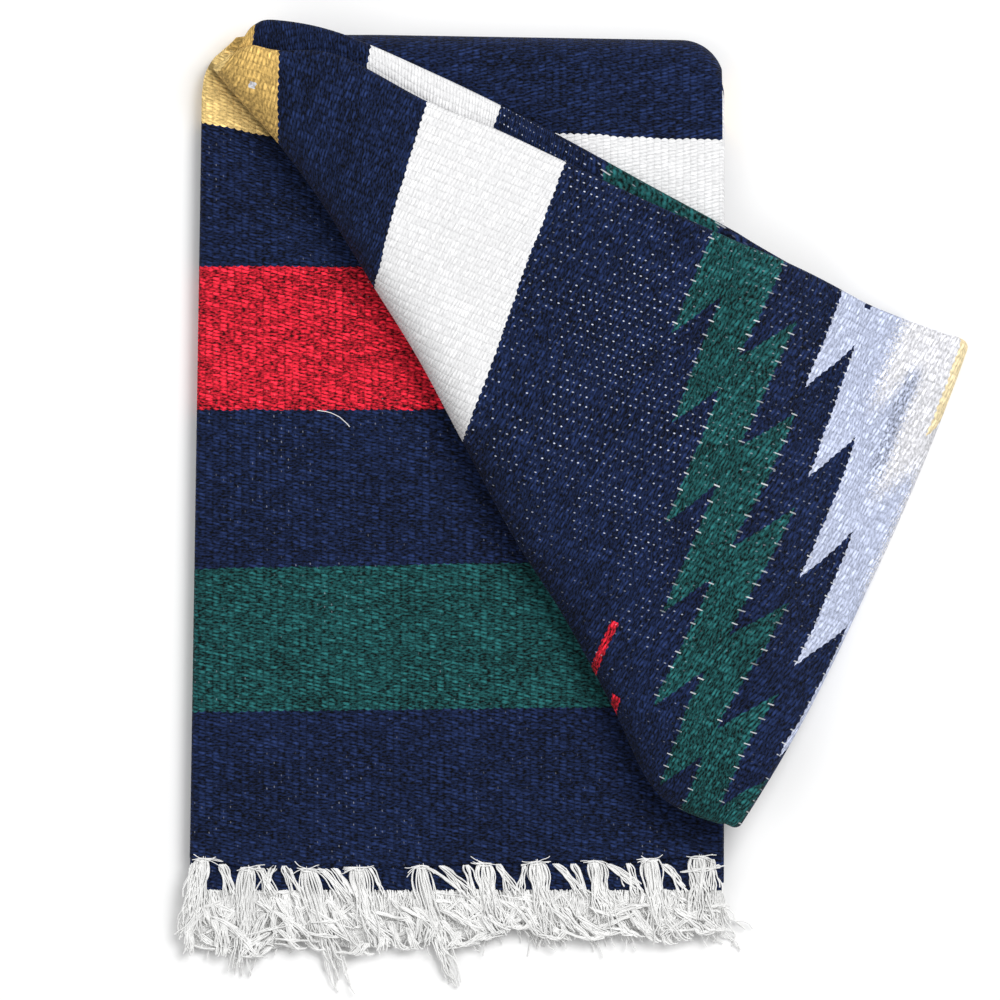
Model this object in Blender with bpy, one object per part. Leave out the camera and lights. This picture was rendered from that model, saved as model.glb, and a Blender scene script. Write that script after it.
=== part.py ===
"""A folded serape lying flat, with its upper half turned back along a diagonal.

The cloth is 1.32 m by 2.06 m. It is folded in four across its width and in four along its
length, which makes sixteen layers. The upper eight layers are then turned back from the far
left corner, so a flap of eight layers lies across the stack and droops to the floor on the
right. Metres, +Z up, +Y to the far fold, origin at the centre of the stack's underside.
"""

import math
import random

import bmesh
import bpy

# The cloth and how its layers stack
CLOTH = 0.0020
GAP = 0.0003
LAYER = CLOTH + GAP
HALF_STACK_LAYERS = 8

# The stack's plan
HALF_LENGTH = 0.2575
RIGHT = 0.1655
LEFT_FAR = -0.1594
LEFT_NEAR = -0.1675
FAR_LEFT_RADIUS = 0.031
FAR_RIGHT_RADIUS = 0.022
WRAP_START = -0.1240
UPPER_NEAR_END = -0.2050
CREASE_MARGIN = 0.0035

# Levels of the three groups of eight layers
Z_FLAP_LOW = HALF_STACK_LAYERS * LAYER
Z_FLAP_UNDER = 2 * HALF_STACK_LAYERS * LAYER
Z_FLAP_TOP = 3 * HALF_STACK_LAYERS * LAYER - GAP
FLAP_HALF = (Z_FLAP_TOP - Z_FLAP_UNDER) / 2

# The far fold, which wraps both halves of the stack, and the top layer's fold on the left
FAR_RADIUS = (Z_FLAP_UNDER - GAP) / 2
PANEL_LOW = 4 * LAYER
PANEL_HIGH = 7 * LAYER + CLOTH
PANEL_RADIUS = (PANEL_HIGH - PANEL_LOW) / 2
PANEL_FAR_END = 0.2465
PANEL_INSET = 0.003

# How the flap droops past the stack's right edge
DROOP_START = RIGHT + 0.008
DROOP_LENGTH = 0.080

# Rounded and tucked edges
EDGE_TUCK = 0.0008
SELVEDGE_SETBACK = 0.0015
CORNER_SETBACK = 0.006
RETURN_LEG = 0.004
HEM_BLEND = 0.030

# How finely the loops and lofts are divided
ROLL_STEPS = 7
TOP_STEPS = 9
EDGE_STEPS = 4
PANEL_FOLD_STEPS = 6
FAR_FOLD_STEPS = 8
END_STEPS = 6
FLAT_STATIONS = 8
DROOP_STATIONS = 15
DROOP_ROW = 6.0
END_ROW_SHARE = 0.3
DIAGONAL_POINTS = 14

# The flap, one row for each section from the far left corner to its free end. "edge" is the
# flap's far edge, "fold" is the diagonal fold, "under" is how far the lower layers show past
# the edge, "rise" is the share of the full thickness, "roll" is how far the fold reaches down
# to the stack, and "bow" is how far the section curves towards the free end.
FLAP_COLUMNS = ("edge_x", "edge_y", "fold_x", "fold_y", "under", "rise", "roll", "bow")
FLAP_ROWS = (
    (-0.1413, 0.2444, -0.1525, 0.2357, 0.008, 0.60, 1.0, 0.000),
    (-0.1289, 0.2500, -0.1345, 0.2145, 0.013, 0.85, 1.0, 0.000),
    (-0.1127, 0.2469, -0.1133, 0.1908, 0.019, 1.00, 1.0, 0.000),
    (-0.0747, 0.2438, -0.0853, 0.1529, 0.014, 1.00, 1.0, 0.000),
    (-0.0193, 0.2151, -0.0529, 0.1006, 0.018, 1.00, 1.0, 0.000),
    (0.0224, 0.1983, -0.0255, 0.0564, 0.015, 1.00, 1.0, 0.000),
    (0.0660, 0.1778, 0.0012, 0.0066, 0.013, 1.00, 1.0, 0.000),
    (0.1127, 0.1554, 0.0342, -0.0551, 0.010, 1.00, 1.0, 0.000),
    (0.1625, 0.1329, 0.0660, -0.1055, 0.006, 1.00, 1.0, 0.000),
    (0.2123, 0.1105, 0.0959, -0.1609, 0.002, 1.00, 1.0, 0.001),
    (0.2621, 0.0869, 0.1251, -0.2157, 0.000, 1.00, 0.6, 0.004),
    (0.3188, 0.0657, 0.1737, -0.2369, 0.000, 1.00, 0.0, 0.009),
)
LAST_ROW = len(FLAP_ROWS) - 1

# How far the top layer's hem stands back from straight, at even steps from left to right
HEM_OFFSETS = (0.0025, -0.0035, -0.0040, -0.0030, -0.0020, -0.0005, 0.0005, 0.0010, 0.0025, 0.0045)

# How far the hem of each lower layer stands out past the top layer's, from the floor up
HEM_STEPS = (0.004, 0.012, 0.008, 0.014, 0.010, 0.013, 0.018)

# Fringe
STRIP_DEPTH = 0.004
STRIP_MARGIN = 0.001
LOCK_WIDTH = 0.0052
LOCK_ROOT_WIDTH = 0.0028
LOCK_TIP_SHARE = 0.45
LOCK_ROOT_PITCH = 0.0036
LOCK_TIP_PITCH = 0.0074
FRINGE_DROP_START = 0.0228
LOCK_STEP = 0.011
LOCK_STEPS = 3
LONG_LOCK_DROP = 0.005
LONG_LOCK_DROP_LENGTH = 0.022
TIP_JITTER = 0.0008
LENGTH_JITTER = 0.10
TASSEL_COLUMNS = ("x", "length", "sway")
TASSEL_ROWS = (
    (-0.1586, 0.054, -0.013),
    (-0.1315, 0.070, -0.004),
    (-0.0940, 0.079, 0.024),
    (-0.0623, 0.053, 0.014),
    (-0.0230, 0.077, 0.020),
    (0.0162, 0.045, 0.012),
    (0.0486, 0.052, 0.012),
    (0.0847, 0.046, 0.010),
    (0.1202, 0.053, 0.006),
    (0.1494, 0.045, 0.002),
)
# One row for each fringe: the layer that it hangs from, how far its hem stands out, how far its
# tassels lie to the side, the height at which they come to rest, the longest lock and the seed
FRINGE_COLUMNS = ("name", "layer", "step", "shift", "rest", "longest", "seed")
FRINGE_ROWS = (
    ("fringe_front", 7, 0.000, 0.000, 0.0075, 0.090, 11),
    ("fringe_second", 6, 0.018, -0.017, 0.0044, 0.036, 12),
    ("fringe_lower", 3, 0.014, 0.006, 0.0013, 0.038, 13),
)
LOCKS_PER_TASSEL = 4

# Colour, roughness and metallic value of each finish
NAVY = (0.018, 0.028, 0.075)
GREEN = (0.015, 0.120, 0.085)
WHITE = (0.80, 0.80, 0.79)
YARN_ROUGHNESS = 0.9


def smooth(value):
    """0 to 1 with level ends."""
    held = min(max(value, 0.0), 1.0)
    return held * held * (3 - 2 * held)


def mix(low, high, share):
    return low + (high - low) * share


def curve_value(rows, column, place):
    """A table's column read on one smooth curve; place counts rows from 0."""
    first = min(max(int(math.floor(place)), 0), len(rows) - 2)
    share = place - first
    before, low, high, after = (
        rows[min(max(first + step, 0), len(rows) - 1)][column] for step in (-1, 0, 1, 2)
    )
    slope_low, slope_high = (high - before) / 2, (after - low) / 2
    cube, square = share**3, share**2
    return (
        low * (2 * cube - 3 * square + 1)
        + slope_low * (cube - 2 * square + share)
        + high * (3 * square - 2 * cube)
        + slope_high * (cube - square)
    )


def hem_offset(x):
    """How far the top layer's hem stands back at x, straight between the table's steps."""
    first = LEFT_NEAR + PANEL_RADIUS
    last = RIGHT - SELVEDGE_SETBACK
    place = min(max((x - first) / (last - first), 0.0), 1.0) * (len(HEM_OFFSETS) - 1)
    step = min(int(place), len(HEM_OFFSETS) - 2)
    return mix(HEM_OFFSETS[step], HEM_OFFSETS[step + 1], place - step)


def left_edge(y):
    """The stack's left edge, which leans in towards the far fold."""
    lean = mix(LEFT_NEAR, LEFT_FAR, (y + HALF_LENGTH) / (2 * HALF_LENGTH))
    rise = y - (HALF_LENGTH - FAR_LEFT_RADIUS)
    if rise <= 0:
        return lean
    return LEFT_FAR + FAR_LEFT_RADIUS - math.sqrt(max(FAR_LEFT_RADIUS**2 - rise**2, 0))


def right_edge(y):
    """The stack's right edge."""
    rise = y - (HALF_LENGTH - FAR_RIGHT_RADIUS)
    if rise <= 0:
        return RIGHT
    return RIGHT - FAR_RIGHT_RADIUS + math.sqrt(max(FAR_RIGHT_RADIUS**2 - rise**2, 0))


def far_edge(x):
    """The stack's far edge, with its two rounded corners."""
    over = x - (RIGHT - FAR_RIGHT_RADIUS)
    if over > 0:
        return HALF_LENGTH - FAR_RIGHT_RADIUS + math.sqrt(max(FAR_RIGHT_RADIUS**2 - over**2, 0))
    over = LEFT_FAR + FAR_LEFT_RADIUS - x
    if over > 0:
        return HALF_LENGTH - FAR_LEFT_RADIUS + math.sqrt(max(FAR_LEFT_RADIUS**2 - over**2, 0))
    return HALF_LENGTH


def round_inset(z, low, high):
    """How far a rounded fold from low to high has drawn in at z."""
    radius = (high - low) / 2
    return radius - math.sqrt(max(radius**2 - (z - low - radius) ** 2, 0))


def far_columns():
    """Where the far fold has its sections, from left to right."""
    corner = RIGHT - FAR_RIGHT_RADIUS
    last = RIGHT - SELVEDGE_SETBACK
    columns = [mix(WRAP_START, corner, step / 9) for step in range(10)]
    return columns + [mix(corner, last, math.sin(math.pi / 2 * step / 4)) for step in range(1, 5)]


def far_line(x):
    """The far edge, straight between the far fold's sections."""
    columns = far_columns()
    for low, high in zip(columns, columns[1:]):
        if x <= high:
            return mix(far_edge(low), far_edge(high), max((x - low) / (high - low), 0.0))
    return far_edge(columns[-1])


def inside_fold(radius, steps):
    """The radius that clears the facets of a fold's inner face."""
    return (radius - CLOTH) * math.cos(math.pi / (2 * steps)) - GAP


def far_inner_edge(x, z):
    """Where hidden layers end inside the far fold."""
    radius = inside_fold(FAR_RADIUS, FAR_FOLD_STEPS)
    height = min(abs(z - FAR_RADIUS), radius)
    reach = math.sqrt(radius**2 - height**2)
    if z < CLOTH + GAP / 2:
        reach = -GAP
    return far_line(x) - FAR_RADIUS + reach


def far_side(right, z):
    """The far side of hidden layers at z, from right to left."""
    corner = (right, far_inner_edge(right, z) - CORNER_SETBACK)
    return [corner] + [(x, far_inner_edge(x, z)) for x in far_columns()[-2::-1]]


def right_side(layer, z, tuck):
    """The right side shows one fold and two selvedges for each four layers."""
    group, place = divmod(layer, 4)
    if place < 2:
        low = group * 4 * LAYER
        return RIGHT - round_inset(z, low, low + LAYER + CLOTH)
    return RIGHT - SELVEDGE_SETBACK * (place - 1) - tuck


def layer_levels(first, count):
    """(layer, height, tuck) at the underside, middle and top of each layer."""
    found = []
    for layer in range(first, first + count):
        base = layer * LAYER
        found += [
            (layer, base, EDGE_TUCK),
            (layer, base + CLOTH / 2, 0.0),
            (layer, base + CLOTH, EDGE_TUCK),
        ]
    return found


def cloth_material(name, colour):
    material = bpy.data.materials.new(name)
    material.use_nodes = True
    shader = material.node_tree.nodes["Principled BSDF"]
    shader.inputs["Base Color"].default_value = (*colour, 1.0)
    shader.inputs["Roughness"].default_value = YARN_ROUGHNESS
    shader.inputs["Metallic"].default_value = 0.0
    return material


def panel_rows():
    """Where the top layer of the lower half has its sections, from the hem to its far end."""
    rows = [-HALF_LENGTH, -HALF_LENGTH + HEM_BLEND / 2, -HALF_LENGTH + HEM_BLEND]
    corner = HALF_LENGTH - FAR_LEFT_RADIUS
    rows += [mix(rows[-1], corner, step / 5) for step in range(1, 6)]
    return rows + [mix(corner, PANEL_FAR_END, step / 4) for step in range(1, 5)]


def add_object(name, mesh_builder, material):
    """Turns a finished bmesh into a named object with its faces pointing out."""
    bmesh.ops.recalc_face_normals(mesh_builder, faces=mesh_builder.faces)
    mesh = bpy.data.meshes.new(name)
    mesh_builder.to_mesh(mesh)
    mesh_builder.free()
    mesh.materials.append(material)
    mesh.shade_smooth()
    mesh.set_sharp_from_angle(angle=math.radians(40))
    piece = bpy.data.objects.new(name, mesh)
    bpy.context.scene.collection.objects.link(piece)
    return piece


def loft(name, loops, material, walled=False, plans=None):
    """Joins closed loops of points, each with the same count, and caps both ends.

    A walled loop runs along a wall's outer side and back along its inner side. plans holds each
    point's x on the flat cloth. A four-sided face is parted along the diagonal that changes x
    less, so faces of layers that lie on each other are parted alike.
    """
    plans = plans or [[x for x, _, _ in loop] for loop in loops]
    builder = bmesh.new()
    rings = [[builder.verts.new(point) for point in loop] for loop in loops]
    for near, far, near_plan, far_plan in zip(rings, rings[1:], plans, plans[1:]):
        for index in range(len(near)):
            after = (index + 1) % len(near)
            one, two, three, four = near[index], near[after], far[after], far[index]
            rising = abs(near_plan[index] - far_plan[after])
            if rising <= abs(near_plan[after] - far_plan[index]):
                faces = ((one, two, three), (one, three, four))
            else:
                faces = ((one, two, four), (two, three, four))
            for corners in faces:
                builder.faces.new(corners)
    for ring in (rings[0], rings[-1]):
        if not walled:
            builder.faces.new(ring)
            continue
        for index in range(len(ring) // 2 - 1):
            builder.faces.new((ring[index], ring[index + 1], ring[-2 - index], ring[-1 - index]))
    return add_object(name, builder, material)


def lower_layers(material):
    """The hidden layers of the lower half. Each left fold rounds over four layers."""
    fold_high = 4 * LAYER - GAP
    inside = inside_fold(PANEL_RADIUS, PANEL_FOLD_STEPS)
    corner_rows = [y for y in panel_rows() if y > HALF_LENGTH - FAR_LEFT_RADIUS - GAP][::-1]
    loops = []
    for layer, z, tuck in layer_levels(0, HALF_STACK_LAYERS - 1):
        if layer < 4:
            draw_in = round_inset(z, 0, fold_high)
        else:
            height = min(abs(z - PANEL_LOW - PANEL_RADIUS), inside)
            draw_in = PANEL_RADIUS - math.sqrt(inside**2 - height**2)
        right = right_side(layer, z, tuck)
        near = -HALF_LENGTH - HEM_STEPS[layer] + tuck
        loop = [(left_edge(near + PANEL_INSET) + draw_in, near), (right, near)]
        loop += far_side(right, z)
        corner_x = WRAP_START - CREASE_MARGIN
        for x in (corner_x, corner_x - 0.011):
            loop.append((x, far_edge(x) - tuck))
        for y in corner_rows:
            loop.append((left_edge(y + PANEL_INSET) + draw_in, y))
        loops.append([(x, y, z) for x, y in loop])
    return loft("lower_layers", loops, material)


def front_panel(material):
    """The top layer of the lower half: a wall that rounds the left fold and ends at the hem."""
    loops = []
    for y in panel_rows():
        left, right = left_edge(y + PANEL_INSET), right_edge(y + PANEL_INSET) - SELVEDGE_SETBACK
        outer, inner = [], []
        for step in range(PANEL_FOLD_STEPS + 1):
            angle = math.pi * step / PANEL_FOLD_STEPS
            for side, reach in ((outer, PANEL_RADIUS), (inner, PANEL_RADIUS - CLOTH)):
                x = left + PANEL_RADIUS - reach * math.sin(angle)
                side.append((x, PANEL_LOW + PANEL_RADIUS - reach * math.cos(angle)))
        for step in range(1, len(HEM_OFFSETS)):
            x = mix(left + PANEL_RADIUS, right, step / (len(HEM_OFFSETS) - 1))
            outer.append((x, PANEL_HIGH))
            inner.append((x, PANEL_HIGH - CLOTH))
        hem_share = 1 - smooth((y + HALF_LENGTH) / HEM_BLEND)
        loops.append([(x, y + hem_offset(x) * hem_share, z) for x, z in outer + inner[::-1]])
    return loft("front_panel", loops, material, walled=True)


def station(place):
    """One section of the flap, read from the table at a place counted in rows."""
    values = {
        name: curve_value(FLAP_ROWS, column, place) for column, name in enumerate(FLAP_COLUMNS)
    }
    across_x = values["edge_x"] - values["fold_x"]
    across_y = values["edge_y"] - values["fold_y"]
    width = math.hypot(across_x, across_y)
    before, after = max(place - 0.1, 0), min(place + 0.1, LAST_ROW)
    fold_x = curve_value(FLAP_ROWS, 2, after) - curve_value(FLAP_ROWS, 2, before)
    fold_y = curve_value(FLAP_ROWS, 3, after) - curve_value(FLAP_ROWS, 3, before)
    slant = abs(fold_x * across_y - fold_y * across_x) / (math.hypot(fold_x, fold_y) * width)
    half = FLAP_HALF * min(values["rise"], 1.0)
    middle = Z_FLAP_UNDER + half
    low = mix(GAP / 2, Z_FLAP_LOW - middle, min(max(values["roll"], 0.0), 1.0))
    big = (half - low) / 2
    values.update(
        width=width,
        across=(across_x / width, across_y / width),
        half=half,
        middle=middle,
        low=low,
        big=big,
        reach=min(big / slant, 0.5 * width),
        leg=min(RETURN_LEG, 0.1 * width),
        under=max(values["under"], 0.0),
    )
    return values


def end_station():
    """The last section before the cloth turns round the free end."""
    values = station(LAST_ROW)
    outward = (values["across"][1], -values["across"][0])
    for axis, name in enumerate(("x", "y")):
        values["edge_" + name] -= outward[axis] * FLAP_HALF
        values["fold_" + name] -= outward[axis] * FLAP_HALF
    return values


def flap_plan(values, along):
    """The point of the plan that lies a distance along a section, from the diagonal fold."""
    share = along / values["width"]
    bow = values["bow"] * 4 * share * (1 - share)
    across_x, across_y = values["across"]
    return (
        values["fold_x"] + across_x * along + across_y * bow,
        values["fold_y"] + across_y * along - across_x * bow,
    )


def drooped(x, y, middle, height):
    """A point of the flap, a height above its middle surface, after the flap has drooped."""
    drop = Z_FLAP_UNDER
    share = min(max((x - DROOP_START) / DROOP_LENGTH, 0.0), 1.0)
    slope = -drop * 6 * share * (1 - share) / DROOP_LENGTH
    length = math.hypot(1.0, slope)
    return (
        x - slope / length * height,
        y,
        middle - drop * smooth(share) + height / length,
    )


def flap_loop(values, outline, turn=math.pi / 2):
    """A section's outline in the row frame. turn is its angle round the free end's fold."""
    across_x, across_y = values["across"]
    loop = []
    for along, height in outline:
        x, y = flap_plan(values, along)
        x += across_y * height * math.cos(turn)
        y -= across_x * height * math.cos(turn)
        loop.append(drooped(x, y, values["middle"], height * math.sin(turn)))
    return loop


def section_grid(values):
    """Places along a section that every layer of the flap shares, up to its hidden layers."""
    start, stop = values["reach"], values["width"] - (values["half"] - GAP / 2) / 2
    stop -= values["leg"] + GAP
    first = start + 2 * GAP
    return [start] + [mix(first, stop, step / TOP_STEPS) for step in range(TOP_STEPS + 1)]


def face_outline(values):
    """The layer that shows: up round the diagonal roll, across the top, round the far edge."""
    top, big, reach = values["half"], values["big"], values["reach"]
    centre = (top + values["low"]) / 2
    small = (top - GAP / 2) / 2
    stop = values["width"] - small
    outer, inner = [], []
    for step in range(ROLL_STEPS + 1):
        angle = math.pi * step / ROLL_STEPS
        for side, radius in ((outer, big), (inner, big - CLOTH)):
            along = reach * (1 - radius * math.sin(angle) / big)
            side.append((along, centre - radius * math.cos(angle)))
    for along in section_grid(values)[1:]:
        outer.append((along, top))
        inner.append((along, top - CLOTH))
    for step in range(EDGE_STEPS + 1):
        angle = math.pi * step / EDGE_STEPS
        for side, radius in ((outer, small), (inner, small - CLOTH)):
            side.append(
                (stop + radius * math.sin(angle), GAP / 2 + small + radius * math.cos(angle))
            )
    outer.append((stop - values["leg"], GAP / 2))
    inner.append((stop - values["leg"], GAP / 2 + CLOTH))
    return outer + inner[::-1]


def back_outline(values):
    """The layer under the flap: along the underside and round the edge that stands out."""
    bottom = values["half"]
    small = (bottom - GAP / 2) / 2
    stop = values["width"] + values["under"] - small
    outer = [(along, -bottom) for along in section_grid(values)[1:]]
    inner = [(along, height + CLOTH) for along, height in outer]
    for step in range(EDGE_STEPS + 1):
        angle = math.pi * step / EDGE_STEPS
        for side, radius in ((outer, small), (inner, small - CLOTH)):
            side.append(
                (stop + radius * math.sin(angle), -GAP / 2 - small - radius * math.cos(angle))
            )
    leg = min(values["width"] - small, stop) - values["leg"]
    outer.append((leg, -GAP / 2))
    inner.append((leg, -GAP / 2 - CLOTH))
    return outer + inner[::-1]


def core_outline(values):
    """The hidden layers of the flap, with those inside the diagonal roll."""
    top, big, reach = values["half"] - LAYER, values["big"], values["reach"]
    centre = (values["half"] + values["low"]) / 2
    radius = big - LAYER - GAP
    outline = []
    for step in range(ROLL_STEPS + 1):
        angle = math.pi * step / ROLL_STEPS
        outline.append(
            (reach * (1 - radius * math.sin(angle) / big), centre - radius * math.cos(angle))
        )
    grid = section_grid(values)
    outline += [(along, top) for along in grid[1:]]
    outline.append((grid[-1], 0.0))
    return outline + [(along, -top) for along in grid[::-1]]


def flap_places():
    """Places of the flap's straight sections, in table rows."""
    last = LAST_ROW - END_ROW_SHARE
    flat = [DROOP_ROW * step / FLAT_STATIONS for step in range(FLAT_STATIONS)]
    return flat + [mix(DROOP_ROW, last, step / DROOP_STATIONS) for step in range(DROOP_STATIONS + 1)]


def flap_piece(name, material, outline, walled, set_back, turns):
    """Lofts one layer of the flap through all its sections and round its free end."""
    sections = list(map(station, flap_places()))
    loops = [flap_loop(values, outline(values)) for values in sections]
    plans = [[flap_plan(values, along)[0] for along, _ in outline(values)] for values in sections]
    end = end_station()
    outward = (end["across"][1], -end["across"][0])
    for axis, letter in enumerate("xy"):
        end["edge_" + letter] -= outward[axis] * set_back
        end["fold_" + letter] -= outward[axis] * set_back
    for turn in turns:
        loops.append(flap_loop(end, outline(end), turn))
        plans.append([flap_plan(end, along)[0] for along, _ in outline(end)])
    return loft(name, loops, material, walled, plans)


def flap_face(material):
    turns = [math.pi / 2 - math.pi * step / END_STEPS for step in range(END_STEPS + 1)]
    return flap_piece("flap_face", material, face_outline, True, 0.0, turns)


def flap_back(material):
    return flap_piece("flap_back", material, back_outline, True, 3 * GAP, [math.pi / 2])


def flap_layers(material):
    """The hidden layers, rounded off inside the turn of the layer that shows."""
    return flap_piece("flap_layers", material, core_outline, False, 0.0, [math.pi / 2])


def crease(place):
    """Where the layers that stay in place end next to the roll, at a place in table rows."""
    values = station(place)
    return flap_plan(values, values["reach"] + CREASE_MARGIN)


def crease_place(axis, target):
    """The place where the crease reaches a given x (axis 0) or y (axis 1)."""
    low, high = 0.0, float(LAST_ROW - 1)
    for _ in range(40):
        middle = (low + high) / 2
        short = crease(middle)[0] < target if axis == 0 else crease(middle)[1] > target
        low, high = (middle, high) if short else (low, middle)
    return low


def upper_layers(material):
    """The hidden layers of the upper half that stay in place behind the diagonal."""
    first, last = crease_place(0, WRAP_START), crease_place(1, UPPER_NEAR_END)
    diagonal = [
        crease(mix(first, last, step / DIAGONAL_POINTS)) for step in range(DIAGONAL_POINTS + 1)
    ]
    loops = []
    for layer, z, tuck in layer_levels(HALF_STACK_LAYERS, HALF_STACK_LAYERS - 1):
        right = right_side(layer, z, tuck)
        loop = list(diagonal) + [(right, UPPER_NEAR_END + tuck)]
        loop += far_side(right, z)
        loops.append([(x, y, z) for x, y in loop])
    return loft("upper_layers", loops, material)


def back_panel(material):
    """The top layer of the upper half, which wraps the far fold down to the floor."""
    turn_x = crease(crease_place(1, UPPER_NEAR_END))[0]
    xs = sorted(far_columns() + [turn_x - 0.010, turn_x])
    top = Z_FLAP_UNDER - GAP
    loops = []
    for x in xs:
        near = UPPER_NEAR_END
        if x < turn_x:
            near = crease(crease_place(0, x))[1]
        centre = far_line(x) - FAR_RADIUS
        outer = [(mix(near, centre, step / TOP_STEPS), top) for step in range(TOP_STEPS)]
        inner = [(y, z - CLOTH) for y, z in outer]
        for step in range(FAR_FOLD_STEPS + 1):
            angle = math.pi * step / FAR_FOLD_STEPS
            for side, radius in ((outer, FAR_RADIUS), (inner, FAR_RADIUS - CLOTH)):
                side.append(
                    (centre + radius * math.sin(angle), FAR_RADIUS + radius * math.cos(angle))
                )
        loops.append([(x, y, z) for y, z in outer + inner[::-1]])
    return loft("back_panel", loops, material, walled=True)


def lock_height(y, row):
    """The height of a lock's middle line at y. Every row of fringe falls along the same line."""
    start = row["layer"] * LAYER + CLOTH / 2
    falls = [-HALF_LENGTH - FRINGE_DROP_START - step * LOCK_STEP for step in range(LOCK_STEPS + 1)]
    heights = [mix(start, row["rest"], smooth(step / LOCK_STEPS)) for step in range(LOCK_STEPS + 1)]
    for near, far, high, low in zip(falls, falls[1:], heights, heights[1:]):
        if y >= far:
            return mix(high, low, max((near - y) / (near - far), 0.0))
    return row["rest"] - LONG_LOCK_DROP * smooth((falls[-1] - y) / LONG_LOCK_DROP_LENGTH)


def lock_points(lock, root_y, row):
    """(centre, half width, half thickness) at each section of one lock, past its root."""
    tip = root_y - lock["length"]
    rings = [-HALF_LENGTH - FRINGE_DROP_START - step * LOCK_STEP for step in range(LOCK_STEPS + 1)]
    rings = [y for y in rings if tip + LOCK_STEP / 4 < y < root_y - GAP] + [tip]
    found = []
    for y in rings:
        share = (root_y - y) / lock["tassel_length"]
        width = mix(LOCK_ROOT_WIDTH, LOCK_WIDTH, share)
        thickness = CLOTH
        if y == tip:
            width *= LOCK_TIP_SHARE
            thickness *= LOCK_TIP_SHARE
        centre = (lock["x"] + lock["sway"] * share**1.4, y, lock_height(y, row))
        found.append((centre, width / 2, thickness / 2))
    return found


def fringe(row, material):
    """A narrow strip parted from the hem, with locks drawn out of its outer face."""
    variation = random.Random(row["seed"])
    locks = []
    for values in TASSEL_ROWS:
        tassel = dict(zip(TASSEL_COLUMNS, values))
        if tassel["x"] + row["shift"] < TASSEL_ROWS[0][0]:
            continue
        for index in range(LOCKS_PER_TASSEL):
            place = index - (LOCKS_PER_TASSEL - 1) / 2
            length = min(tassel["length"], row["longest"])
            lean = tassel["sway"] * length / tassel["length"]
            spread = place * (LOCK_TIP_PITCH - LOCK_ROOT_PITCH)
            locks.append(
                {
                    "x": tassel["x"] + row["shift"] + place * LOCK_ROOT_PITCH,
                    "sway": lean + spread + variation.uniform(-TIP_JITTER, TIP_JITTER),
                    "tassel_length": length,
                    "length": length * (1 - LENGTH_JITTER * variation.random()),
                }
            )
    left, right = LEFT_NEAR + STRIP_MARGIN, RIGHT - STRIP_MARGIN
    breaks = [left]
    for lock in locks:
        breaks += [lock["x"] - LOCK_ROOT_WIDTH / 2, lock["x"] + LOCK_ROOT_WIDTH / 2]
    breaks.append(right)
    low = row["layer"] * LAYER
    builder = bmesh.new()
    columns = []
    for x in breaks:
        edge = -HALF_LENGTH - row["step"] - GAP
        if row["layer"] == HALF_STACK_LAYERS - 1:
            edge += hem_offset(x)
        columns.append(
            [
                builder.verts.new((x, y, z))
                for y, z in (
                    (edge, low),
                    (edge - STRIP_DEPTH, low),
                    (edge - STRIP_DEPTH, low + CLOTH),
                    (edge, low + CLOTH),
                )
            ]
        )
    for index, (near, far) in enumerate(zip(columns, columns[1:])):
        lock_here = index % 2 == 1
        for corner in range(4):
            after = (corner + 1) % 4
            if corner == 1 and lock_here:
                continue
            builder.faces.new((near[corner], near[after], far[after], far[corner]))
        if lock_here:
            lock = locks[index // 2]
            ring = [near[1], far[1], far[2], near[2]]
            root_y = ring[0].co.y
            for (x, y, z), wide, thick in lock_points(lock, root_y, row):
                new_ring = [
                    builder.verts.new((x + side * wide, y, z + lift * thick))
                    for side, lift in ((-1, -1), (1, -1), (1, 1), (-1, 1))
                ]
                for corner in range(4):
                    after = (corner + 1) % 4
                    builder.faces.new(
                        (ring[corner], ring[after], new_ring[after], new_ring[corner])
                    )
                ring = new_ring
            builder.faces.new(ring)
    builder.faces.new(columns[0])
    builder.faces.new(columns[-1])
    return add_object(row["name"], builder, material)


def main():
    for old in list(bpy.data.objects):
        bpy.data.objects.remove(old)
    navy = cloth_material("serape_weave", NAVY)
    green = cloth_material("diamond_weave", GREEN)
    white = cloth_material("fringe_yarn", WHITE)
    lower_layers(navy)
    front_panel(navy)
    upper_layers(navy)
    back_panel(navy)
    flap_face(green)
    flap_back(navy)
    flap_layers(navy)
    for values in FRINGE_ROWS:
        fringe(dict(zip(FRINGE_COLUMNS, values)), white)


main()
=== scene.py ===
"""A folded serape blanket that lies flat, with its upper half turned back along a diagonal.

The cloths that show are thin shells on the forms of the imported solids, with the weave's own
coordinates on them, so the stripes run on from layer to layer. Metres, +Z up, +Y to the far fold.
"""

import math
import random

import bmesh
import bpy
import numpy as np
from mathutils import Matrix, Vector, noise


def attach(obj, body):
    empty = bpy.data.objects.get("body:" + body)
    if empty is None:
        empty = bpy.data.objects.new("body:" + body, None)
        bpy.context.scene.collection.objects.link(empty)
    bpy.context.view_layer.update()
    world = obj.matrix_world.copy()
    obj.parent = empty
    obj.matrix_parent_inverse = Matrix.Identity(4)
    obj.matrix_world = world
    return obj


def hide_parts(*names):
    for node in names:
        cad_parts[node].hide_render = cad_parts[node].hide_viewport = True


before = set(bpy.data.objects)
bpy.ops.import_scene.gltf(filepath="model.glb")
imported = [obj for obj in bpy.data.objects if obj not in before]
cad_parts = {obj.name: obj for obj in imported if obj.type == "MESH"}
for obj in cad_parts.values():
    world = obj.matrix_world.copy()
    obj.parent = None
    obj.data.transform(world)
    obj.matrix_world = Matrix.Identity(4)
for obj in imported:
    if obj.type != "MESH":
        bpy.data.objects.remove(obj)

bl_info = {
    "name": "Folded Serape",
    "version": (1, 0, 0),
    "blender": (4, 5, 0),
    "location": "View3D > Sidebar > Serape",
    "description": "Dresses the packed serape with its cloths, fringe and stage",
    "category": "Add Mesh",
}

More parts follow.
